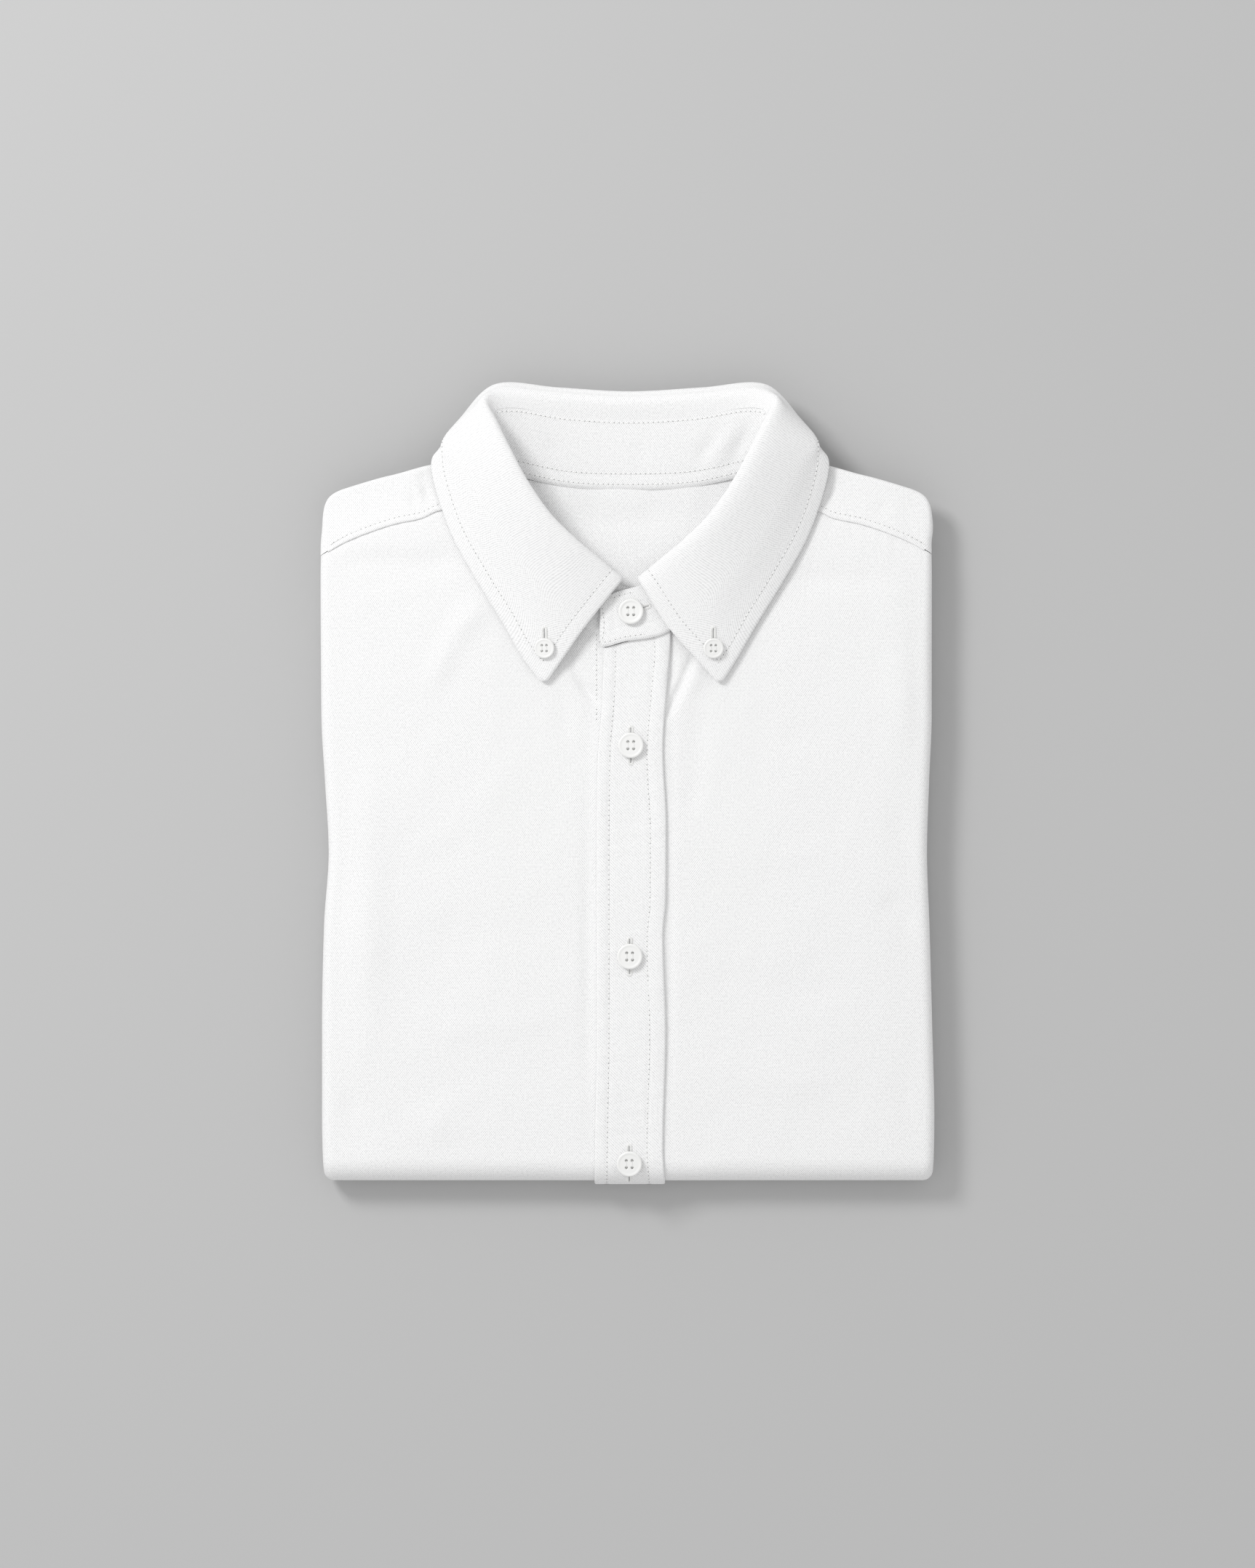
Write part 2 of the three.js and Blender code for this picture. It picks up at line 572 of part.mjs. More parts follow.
// The slab's middle and half depth below the pack's skin at a share of its width, -1 to 1.
function layerSpot(place, share) {
  const guess = pathPlace(SIDE_X * Math.sign(share || 1), place, LAYER_RADIUS_Y, LAYERS);
  const radius = sideRadius(place, guess.y);
  const flatEnd = Math.abs(sideEdge(share < 0 ? 'left' : 'right', guess.y)) - radius - SEAM_GAP;
  const x = share * flatEnd;
  const base = pathPlace(x, place, layersTop(x), LAYERS);
  const behind = ease((base.y - YOKE_BACK_END + BELOW_YOKE.room) / BELOW_YOKE.slope);
  const belowYoke = place.run === 'top' ? behind : 0;
  const yokeRoom = 2 * SHOULDER_FOLD_RADIUS - CLOTH + 2 * SEAM_GAP + neckHollow(x, base.y);
  const roomShare = { top: 1, fold: 0.5, under: 0 }[place.run];
  const foldRoom = FOLD_ROOM * roomShare * ease((flatEnd - Math.abs(x)) / FOLD_ROOM_SLOPE);
  const sunk = foldRoom + belowYoke * yokeRoom;
  const atEnd = place.run === 'top' && place.share < LAYER_NOSE.share;
  const nose = atEnd ? lerp(LAYER_NOSE.least, 1, place.share / LAYER_NOSE.share) : 1;
  const half = Math.max(LEAST_HALF_DEPTH, (radius - CLOTH - LAYER_GAP - sunk / 2) * nose);
  return { x, base, middle: -radius - sunk / 2, half };
}

// One ring of the slab: across its upper side, round one side, back along its lower side and round.
function layerRing(place) {
  const point = (spot, out, depth) => [
    spot.x + out, spot.base.y + spot.base.normalY * depth, spot.base.z + spot.base.normalZ * depth];
  const flat = (way) => steps(LAYER_COLUMNS).map((share) => {
    const spot = layerSpot(place, way * (2 * share - 1));
    return point(spot, 0, spot.middle + way * spot.half);
  });
  const bulge = (way) => steps(4).slice(1, -1).map((turn) => {
    const spot = layerSpot(place, way);
    const angle = turn * Math.PI;
    return point(spot, way * spot.half * Math.sin(angle), spot.middle + way * spot.half * Math.cos(angle));
  });
  return [...flat(1), ...bulge(1), ...flat(-1), ...bulge(-1)];
}

function foldedLayers() {
  const places = PATH.filter((place) => place.run !== 'tail');
  const slab = toSolid(loft(places.map(layerRing)));
  const core = new THREE.BoxGeometry(CORE.width, CORE.length, CORE.depth);
  core.translate(0, CORE.y, PACK_HEIGHT / 2);
  return fromSolid(slab.add(toSolid(core)));
}

// ---- collar ------------------------------------------------------------------------------------
const COLLAR_POINTS = ['neck', 'seam', 'roll', 'turn', 'edge'];

// One section placed on its side of the shirt, with its front end raised or lowered for the lap.
function placedSection(row, index, side) {
  const sign = side === 'left' ? -1 : 1;
  const lap = sign * COLLAR_LAP * (1 - ease(index / 2));
  const placed = {};
  for (const name of COLLAR_POINTS) {
    const [out, y, z] = row[name];
    const lift = name === 'neck' || name === 'seam' ? lap : 0;
    placed[name] = [COLLAR_CENTRE_X + sign * out, y, z + lift];
  }
  return placed;
}

function collarRing() {
  const half = (side) => COLLAR_SECTIONS.map((row, index) => placedSection(row, index, side));
  return [...half('left'), ...half('right').slice(0, -1).reverse()];
}

// The leaf from its seam on the stand, up into the roll and down to the outer edge.
function leafPoint(ring, along, across) {
  const at = (name) => alongRows(ring.map((section) => section[name]), along);
  const [seam, roll, turn, edge] = ['seam', 'roll', 'turn', 'edge'].map(at);
  const crown = roll.map((value, axis) => lerp(value, turn[axis], 0.2) + (axis === 2 ? 1.8 : 0));
  const lower = turn.map((value, axis) => lerp(value, edge[axis], 0.55));
  return alongRows([seam, roll, crown, turn, lower, edge], across);
}

function gridNormals(grid) {
  const vector = (point) => new THREE.Vector3(...point);
  return grid.map((column, row) => column.map((_, place) => {
    const before = vector(grid[Math.max(row - 1, 0)][place]);
    const after = vector(grid[Math.min(row + 1, grid.length - 1)][place]);
    const low = vector(column[Math.max(place - 1, 0)]);
    const high = vector(column[Math.min(place + 1, column.length - 1)]);
    return after.sub(before).cross(high.sub(low)).normalize();
  }));
}

// A wall of even thickness about a middle surface.
function wallAbout(grid, thickness) {
  const normals = gridNormals(grid);
  const moved = (distance) => grid.map((column, row) => column.map((point, place) => {
    const normal = normals[row][place];
    return [point[0] + normal.x * distance, point[1] + normal.y * distance, point[2] + normal.z * distance];
  }));
  return wall(moved(thickness / 2), moved(-thickness / 2));
}

const leafAcross = (share) => 0.035 + 0.965 * share ** 1.05;

function leafGrid() {
  const ring = collarRing();
  return steps(LEAF_STATIONS).map((along) => steps(LEAF_ROWS).map(
    (across) => leafPoint(ring, along, leafAcross(across))));
}

function collarStand() {
  const whole = [
    ...[...STAND_UNDER_END].reverse(),
    ...collarRing(),
    ...STAND_OVER_END,
  ];
  const neck = whole.map((section) => section.neck);
  const seam = whole.map((section) => section.seam);
  return wallAbout(steps(LEAF_STATIONS).map((along) => {
    const low = alongRows(neck, along);
    const high = alongRows(seam, along);
    return steps(STAND_ROWS).map((share) => low.map((value, axis) => lerp(value, high[axis], share)));
  }), COLLAR_CLOTH);
}

// ---- buttons -----------------------------------------------------------------------------------
// A dished four-hole button with a raised rim, standing on the plane z = 0.
function buttonGeometry({ radius, height, rim, holeRadius, holeSpread, sides }) {
  const dish = height * 0.72;
  const profile = [
    [0, 0], [radius * 0.72, 0], [radius, height * 0.45], [radius, height * 0.75],
    [radius - rim * 0.45, height], [radius - rim, height * 0.95], [radius - rim * 1.7, dish], [0, dish],
  ].map(([out, up]) => new THREE.Vector2(out, up));
  const lathe = new THREE.LatheGeometry(profile, sides);
  lathe.rotateX(Math.PI / 2);
  let solid = toSolid(facingOut(mergedShape(lathe)));
  for (const [signX, signY] of [[1, 1], [1, -1], [-1, 1], [-1, -1]]) {
    const hole = new THREE.CylinderGeometry(holeRadius, holeRadius, height * 3, 8);
    hole.rotateX(Math.PI / 2);
    hole.translate(signX * holeSpread, signY * holeSpread, 0);
    solid = solid.subtract(toSolid(hole));
  }
  return fromSolid(solid);
}

function mergedShape(geometry) {
  geometry.deleteAttribute('normal');
  geometry.deleteAttribute('uv');
  return mergeVertices(geometry, 1e-4);
}

// ---- materials and the group -------------------------------------------------------------------
const OXFORD = new THREE.MeshStandardMaterial({ color: 0xf1f1ee, roughness: 0.9, metalness: 0 });
const INNER_CLOTH = new THREE.MeshStandardMaterial({ color: 0xe9e9e6, roughness: 0.92, metalness: 0 });
const BUTTON_SHELL = new THREE.MeshStandardMaterial({ color: 0xf4f3ee, roughness: 0.32, metalness: 0 });

const shirt = new THREE.Group();

function addPiece(name, geometry, material) {
  const mesh = new THREE.Mesh(geometry, material.clone());
  mesh.name = name;
  shirt.add(mesh);
  return mesh;
}

function addButton(name, sizes, position, normal) {
  const mesh = addPiece(name, buttonGeometry(sizes), BUTTON_SHELL);
  mesh.position.set(...position);
  mesh.quaternion.setFromUnitVectors(new THREE.Vector3(0, 0, 1), normal.clone().normalize());
}

addPiece('folded_layers', foldedLayers(), INNER_CLOTH);
addPiece('yoke', yoke(), OXFORD);
addPiece('front_button_side', front('left', SEAM_GAP - STAND_LEFT), OXFORD);
addPiece('front_placket_side', front('right', STAND_RIGHT + SEAM_GAP), OXFORD);
addPiece('button_stand', buttonStand(), OXFORD);
addPiece('front_placket', placket(), OXFORD);
addPiece('collar_stand', collarStand(), OXFORD);

const leaf = leafGrid();
addPiece('collar_leaf', wallAbout(leaf, COLLAR_CLOTH), OXFORD);

addButton('button_collar_stand', SHIRT_BUTTON,
  [STAND_BUTTON.x, STAND_BUTTON.y, STAND_BUTTON.z + SEAM_GAP], new THREE.Vector3(0, 0, 1));

// Where a placket button sits: on the placket's face, tipped with it near the bottom fold.
function placketSeat({ x, y }) {
  const radius = PACK_HEIGHT / 2;
  const turned = Math.asin(clamp((BOTTOM_EDGE + radius - y) / radius, 0, 1));
  const lift = PLACKET_LIFT + SEAM_GAP;
  const level = topHeight(x, Math.max(y, BOTTOM_EDGE + radius));
  const z = level - radius * (1 - Math.cos(turned)) + lift * Math.cos(turned);
  return {
    position: [x, y - lift * Math.sin(turned), z],
    normal: new THREE.Vector3(0, -Math.sin(turned), Math.cos(turned)),
  };
}

PLACKET_BUTTONS.forEach((spot, index) => {
  const seat = placketSeat(spot);
  addButton(`button_placket_${index + 1}`, SHIRT_BUTTON, seat.position, seat.normal);
});

// A collar-point button sits on the leaf's face at the nearest place of its surface.
function leafSeat({ x, y }) {
  const normals = gridNormals(leaf);
  let best = { distance: Infinity };
  leaf.forEach((column, row) => column.forEach((point, place) => {
    const distance = Math.hypot(point[0] - x, point[1] - y);
    if (distance < best.distance) {
      best = { distance, point, normal: normals[row][place] };
    }
  }));
  const up = best.normal.z < 0 ? best.normal.clone().negate() : best.normal.clone();
  const rise = -(up.x * (x - best.point[0]) + up.y * (y - best.point[1])) / up.z;
  const foot = new THREE.Vector3(x, y, best.point[2] + rise);
  return { position: foot.addScaledVector(up, COLLAR_CLOTH / 2 + SEAM_GAP), normal: up };
}

for (const spot of POINT_BUTTONS) {
  const seat = leafSeat(spot);
  addButton(`button_collar_point_${spot.side}`, POINT_BUTTON, seat.position.toArray(), seat.normal);
}

export default shirt;
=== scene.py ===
"""Dresses a folded button-down shirt that lies face up on a surface.

The garment's shells, its collar, its stitching, its buttonholes and its buttons are made here around
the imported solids. Tables and sizes are in millimetres, with +Y towards the collar and +Z up; meshes
are written in metres.
"""
import sys
import logging
import math
from dataclasses import dataclass, field
from enum import Enum
from typing import Callable, Sequence

import bpy
import numpy as np
from bpy.types import Material, Mesh, Node, NodeSocket, NodeTree, Object
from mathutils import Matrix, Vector


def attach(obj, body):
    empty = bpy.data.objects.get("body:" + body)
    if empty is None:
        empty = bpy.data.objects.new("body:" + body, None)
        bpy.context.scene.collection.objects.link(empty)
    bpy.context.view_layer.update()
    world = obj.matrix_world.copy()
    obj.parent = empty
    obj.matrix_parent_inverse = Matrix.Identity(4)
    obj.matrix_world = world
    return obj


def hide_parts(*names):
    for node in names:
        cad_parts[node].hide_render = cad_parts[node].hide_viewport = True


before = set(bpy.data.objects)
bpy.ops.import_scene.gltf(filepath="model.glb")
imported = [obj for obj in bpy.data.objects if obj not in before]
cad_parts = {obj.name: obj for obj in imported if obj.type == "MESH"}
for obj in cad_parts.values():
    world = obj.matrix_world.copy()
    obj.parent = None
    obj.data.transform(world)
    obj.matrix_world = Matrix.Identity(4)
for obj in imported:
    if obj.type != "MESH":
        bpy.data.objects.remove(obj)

Array = np.ndarray

LOG = logging.getLogger("folded_shirt")
MM = 0.001
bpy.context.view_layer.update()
CLOTH_MAP = "cloth"  # the UV map that the weave follows

# ---- driving sizes, in millimetres ----
CLOTH = 1.2  # body cloth with its seam allowances
PLACKET_CLOTH = 1.4
COLLAR_CLOTH = 1.6
SEAM_GAP = 0.3
PACK_HEIGHT = 20.0
BOTTOM_EDGE = -178.0
TAIL_END = 112.0
TAIL_FOLD_RADIUS = 4.5
TAIL_TURN = 0.62  # share of a half turn that the tail's end makes
BUNDLE_RADIUS = 4.5
YOKE_BUNDLE_RADIUS = 3.4
TAIL_CORNER_RADIUS = 1.9
TUCK_LENGTH = 14.0
PLACKET_LIFT = PLACKET_CLOTH + SEAM_GAP
STAND_LEFT = -14.5
STAND_RIGHT = 12.4
YOKE_BACK_END = 31.0
YOKE_INNER_X = 66.0
SHOULDER_FOLD_RADIUS = 1.7
NECK_HALF = 52.0  # from the middle to where the neck seam ends
NECK_HOLLOW = 1.4
COLLAR_CENTRE_X = 1.2
COLLAR_LAP = 1.5
COLLAR_STITCH_INSET = 6.8
STITCH_PITCH = 2.2
STITCH_LIFT = 0.04  # from the cloth to a stitch line
BUTTON_LIFT = 0.3  # from the cloth to a button's back

# ---- unevenness ----
RIPPLE_WAVES = 6
RIPPLE_PITCHES = (1.4, 3.0)  # shortest and longest wave for a bump of size 1
RIPPLE_SUM = 3.4  # brings the waves' sum to between about -1 and 1
UNEVENNESS = ((0.16, 24.0, 5), (0.05, 7.0, 8))  # height, size, seed on the fronts and yoke
CREASE_END = 0.04  # share of a crease's length that is left out at each end
CREASE_FADE = 0.7
CREASE_UNEVEN = 0.25
CREASE_WAVES = 9.0
TINY = 1e-9  # keeps a division away from zero

# ---- tables ----
SIDE_EDGES = (  # y, left edge, right edge
    (-180, -136.2, 137.0), (-150, -137.0, 137.6), (-105, -137.0, 136.6), (-60, -136.1, 135.4),
    (-27, -134.0, 134.3), (5, -135.6, 135.2), (38, -137.3, 136.4), (100, -137.6, 136.4),
    (130, -137.0, 136.0),
)
SHOULDER_LINE = (  # distance from the middle, y
    (0, 131.6), (22, 132.2), (45, 135.0), (62, 141.5), (76, 144.4), (90, 143.0), (103, 139.2),
    (116, 135.8), (129, 131.8), (133.5, 129.2), (136.6, 121.0), (138, 112.0),
)
FRONT_TOP = (  # distance from the middle, y of the neck seam and then of the yoke seam
    (0, 62.0), (13, 65.5), (24, 71.5), (34.5, 80.5), (45, 92.5), (54, 105.0), (60, 117.0),
    (66, 122.4), (74, 124.0), (85, 122.6), (92, 119.4), (104, 116.8), (116, 112.9), (128, 107.8),
    (138, 101.8),
)
PLACKET_EDGES = (  # y, left edge, right edge
    (-180, -14.8, 17.0), (-163, -14.6, 15.9), (-112, -13.8, 17.1), (-70, -13.8, 15.9),
    (-53, -13.8, 17.2), (-22, -13.8, 17.4), (12, -13.4, 15.9), (40, -11.4, 17.8),
    (60, -10.8, 19.4), (70, -11.2, 18.6),
)


class Part(Enum):
    """The stretches of cloth across a front, from its inner edge outwards."""

    FLAT = 0
    SIDE_FOLD = 1
    TUCK = 2


class Run(Enum):
    """The stretches along a front, from the neck down and back underneath."""

    TOP = 0
    BOTTOM_FOLD = 1
    UNDERSIDE = 2
    TAIL_FOLD = 3


@dataclass(frozen=True)
class Cut:
    """The flat size of a cloth piece in metres, and its area in square metres if it isn't a rectangle."""

    width: float
    length: float
    area: float | None = None

    def square_metres(self) -> float:
        """The flat piece's area."""
        return self.area or self.width * self.length


CUTS = {  # the cut of what is built, by the piece's name
    "folded_plies": Cut(0.54, 0.70),  # one cloth with as much area as the five plies
    "front_left": Cut(0.203, 0.613, 0.1034),
    "front_right": Cut(0.176, 0.613, 0.0892),
    "placket_cloth": Cut(0.033, 0.566, 0.0176),
    "yoke_left": Cut(0.107, 0.064, 0.0045),
    "yoke_right": Cut(0.107, 0.064, 0.0045),
    "yoke_back": Cut(0.138, 0.111, 0.0144),
    "collar_leaf_cloth": Cut(0.418, 0.066, 0.0196),
    "collar_stand_cloth": Cut(0.367, 0.032, 0.0100),
}


# ---- small mathematics ----
def ease(share: Array) -> Array:
    """Smooth step from 0 to 1, held level outside that range."""
    held = np.clip(share, 0.0, 1.0)
    return held * held * (3.0 - 2.0 * held)


def fade(at: Array, start: float, reach: float) -> Array:
    """Smooth step that starts at one place and is whole a reach further on."""
    return ease((at - start) / reach)


def lerp(start: Array, end: Array, share: Array) -> Array:
    """Straight-line mix of two values."""
    return start + (end - start) * share


def bell(distance: Array, reach: float) -> Array:
    """A bump of height 1 that falls off on both sides."""
    return np.exp(-((distance / reach) ** 2))


def unit(vectors: Array) -> Array:
    """The vectors of a grid's last axis, brought to length 1."""
    return vectors / np.maximum(np.linalg.norm(vectors, axis=-1, keepdims=True), TINY)


class Profile:
    """A smooth curve through a short table that never overshoots its rows."""

    def __init__(self, rows: Sequence[Sequence[float]], column: int = 1) -> None:
        """Works out the curve's slope at each row.

        Args:
            rows: the table, in the order of its first column.
            column: the column to read against the first one.
        """
        table = np.array(rows, dtype=float)
        self.place = table[:, 0]
        self.value = table[:, column]
        gap = np.diff(self.place)
        slope = np.diff(self.value) / gap
        inner = np.zeros(len(slope) - 1)
        same_way = slope[:-1] * slope[1:] > 0
        weight = 3.0 * (gap[:-1] + gap[1:])
        inner[same_way] = weight[same_way] / (
            (2 * gap[1:] + gap[:-1])[same_way] / slope[:-1][same_way]
            + (gap[1:] + 2 * gap[:-1])[same_way] / slope[1:][same_way]
        )
        self.slope = np.concatenate([slope[:1], inner, slope[-1:]])

    def __call__(self, at: Array) -> Array:
        """Reads the curve, which is held level past the table's ends.

        Args:
            at: one or many places in the first column's range.

        Returns:
            The curve's value at each place.
        """
        held = np.clip(at, self.place[0], self.place[-1])
        index = np.clip(np.searchsorted(self.place, held) - 1, 0, len(self.place) - 2)
        gap = self.place[index + 1] - self.place[index]
        t = (held - self.place[index]) / gap
        return (
            self.value[index] * (1 + 2 * t) * (1 - t) ** 2
            + self.slope[index] * gap * t * (1 - t) ** 2
            + self.value[index + 1] * t * t * (3 - 2 * t)
            + self.slope[index + 1] * gap * t * t * (t - 1)
        )


def catmull(points: Array, share: Array) -> Array:
    """A Catmull-Rom curve through control points.

    Args:
        points: control points, one per row of the first axis.
        share: places along the curve, 0 to 1, spaced evenly over the rows.

    Returns:
        The curve's points, one per place.
    """
    reach = np.clip(share, 0, 1) * (len(points) - 1)
    index = np.minimum(reach.astype(int), len(points) - 2)
    t = (reach - index).reshape((-1,) + (1,) * (points.ndim - 1))
    rows = [points[np.clip(index + offset, 0, len(points) - 1)] for offset in (-1, 0, 1, 2)]
    before, start, end, after = rows
    return 0.5 * (
        2 * start + (end - before) * t + (2 * before - 5 * start + 4 * end - after) * t ** 2
        + (3 * start - before - 3 * end + after) * t ** 3
    )


def ripple(across: Array, along: Array, size: float, seed: int) -> Array:
    """Soft unevenness made of a few sine waves in random directions.

    Args:
        across: distances across, one per point.
        along: distances along, one per point.
        size: rough width of a bump.
        seed: the random draw.

    Returns:
        A height between about -1 and 1 for each point.
    """
    draw = np.random.default_rng(seed)
    total = np.zeros(np.broadcast(across, along).shape)
    for _ in range(RIPPLE_WAVES):
        angle, phase = draw.uniform(0, 2 * math.pi, 2)
        pitch = size * draw.uniform(*RIPPLE_PITCHES)
        ahead = across * math.cos(angle) + along * math.sin(angle)
        total += np.sin(ahead * 2 * math.pi / pitch + phase)
    return total / RIPPLE_SUM


@dataclass(frozen=True)
class Crease:
    """A soft trough (negative height) or ridge along a bent line, fading out at both ends."""

    start: tuple[float, float]
    bend: tuple[float, float]
    end: tuple[float, float]
    width: float
    height: float
    lean: float = 0.0
    pieces: int = 10

    def rise(self, x: Array, y: Array) -> Array:
        """Works out the crease over a grid of points.

        Args:
            x: distances across.
            y: distances along.

        Returns:
            The height that the crease adds at each point.
        """
        t = np.linspace(0, 1, self.pieces + 1)[:, None]
        ends = (self.start, self.bend, self.end)
        start, bend, end = (np.array(point, dtype=float) for point in ends)
        line = (1 - t) ** 2 * start + 2 * t * (1 - t) * bend + t ** 2 * end
        best = np.full(x.shape, np.inf)
        side = np.zeros(x.shape)
        place = np.zeros(x.shape)
        for index in range(self.pieces):
            step = line[index + 1] - line[index]
            length = float(np.hypot(*step))
            from_x, from_y = x - line[index, 0], y - line[index, 1]
            along = np.clip((from_x * step[0] + from_y * step[1]) / length ** 2, 0, 1)
            off_x, off_y = from_x - along * step[0], from_y - along * step[1]
            distance = np.hypot(off_x, off_y)
            nearer = distance < best
            best = np.where(nearer, distance, best)
            side = np.where(nearer, (off_x * step[1] - off_y * step[0]) / length, side)
            place = np.where(nearer, (index + along) / self.pieces, place)
        inside = lerp(CREASE_END, 1 - CREASE_END, place)
        faded = np.sin(np.pi * inside) ** CREASE_FADE
        uneven = 1 + CREASE_UNEVEN * np.sin(place * CREASE_WAVES + self.width)
        leaning = 1 + self.lean * side / self.width
        return self.height * faded * uneven * bell(best, self.width) * leaning


BODY_CREASES = (
    # below the yoke seams
    Crease((-132, 100), (-100, 97), (-73, 101), 6.0, -1.0),
    Crease((71, 93), (92, 91), (114, 92), 5.5, -0.8),
    Crease((-128, 92), (-112, 88), (-96, 90), 4.0, -0.35),
    # the long soft folds of the two fronts
    Crease((-63, 81), (-78, 66), (-86, 45), 6.0, 1.1, 0.5),
    Crease((-114, 4), (-116, -60), (-115, -122), 9.0, 1.2, 0.3),
    Crease((122, 80), (125, 45), (124, 10), 9.0, 0.8),
    Crease((-72, -139), (-84, -150), (-96, -163), 9.0, 0.8),
    Crease((115, -50), (122, -58), (131, -62), 6.0, -0.8),
    Crease((118, -14), (126, -28), (133, -41), 6.0, -0.5),
    # dips beside the placket where the collar pulls the fronts down
    Crease((-25, 54), (-20, 44), (-11, 34), 2.2, -1.7, 0.5),
    Crease((29, 57), (23, 44), (16.5, 29), 2.0, -1.9, -0.5),
    Crease((20, 62), (20.5, 50), (18, 38), 2.0, -1.2),
    Crease((-34, 58), (-24, 60), (-15, 52), 4.5, -0.9),
    Crease((34, 57), (30, 46), (24, 34), 3.6, 0.7),
    Crease((-31, 42), (-28, 24), (-21, 6), 5.0, -0.4),
    Crease((33, 36), (30, 10), (28, -15), 6.0, -0.7),
    # the placket's edges press into the fronts
    Crease((-17.6, 38), (-18.4, -60), (-17.8, -168), 2.6, -0.55),
    Crease((19.6, 40), (18.6, -60), (18.6, -168), 2.2, -0.7),
    # faint drags and press marks
    Crease((-52, 8), (-70, -18), (-96, -30), 7.0, 0.35),
    Crease((-40, -62), (-66, -70), (-98, -66), 8.0, -0.3),
    Crease((-36, -104), (-58, -112), (-84, -108), 6.0, 0.3),
    Crease((46, -30), (70, -36), (100, -30), 8.0, 0.3),
    Crease((40, -84), (64, -94), (96, -92), 7.0, -0.3),
    Crease((36, -128), (62, -136), (104, -132), 7.0, 0.35),
    Crease((52, 30), (74, 18), (96, 20), 8.0, -0.3),
    Crease((27, -166), (31, -168), (36, -171), 3.0, -0.3),
    Crease((-128, -136), (-122, -150), (-118, -164), 5.0, -0.4),
    Crease((120, -128), (126, -146), (128, -162), 5.0, -0.35),
    # the yoke's pulls beside the collar
    Crease((-92, 139), (-91, 131), (-88, 123), 2.4, -0.7),
    Crease((-97, 133), (-96, 128), (-94, 122), 2.2, -0.45),
    Crease((94, 138), (92, 131), (88, 124), 2.4, -0.7),
    Crease((-120, 132), (-116, 124), (-110, 119), 3.5, -0.3),
    Crease((118, 130), (114, 122), (108, 118), 3.5, -0.3),
)
UNDERSIDE_CREASES = (
    Crease((-110, -150), (-80, -120), (-60, -70), 7.0, -0.7),
    Crease((104, -140), (86, -100), (82, -40), 8.0, -0.7),
    Crease((-118, 40), (-90, 60), (-48, 66), 6.0, -0.6),
    Crease((52, 50), (84, 62), (116, 48), 7.0, -0.6),
    Crease((-50, -20), (-70, 0), (-104, 6), 6.0, -0.5),
    Crease((48, -4), (70, 14), (112, 10), 6.0, -0.5),
)


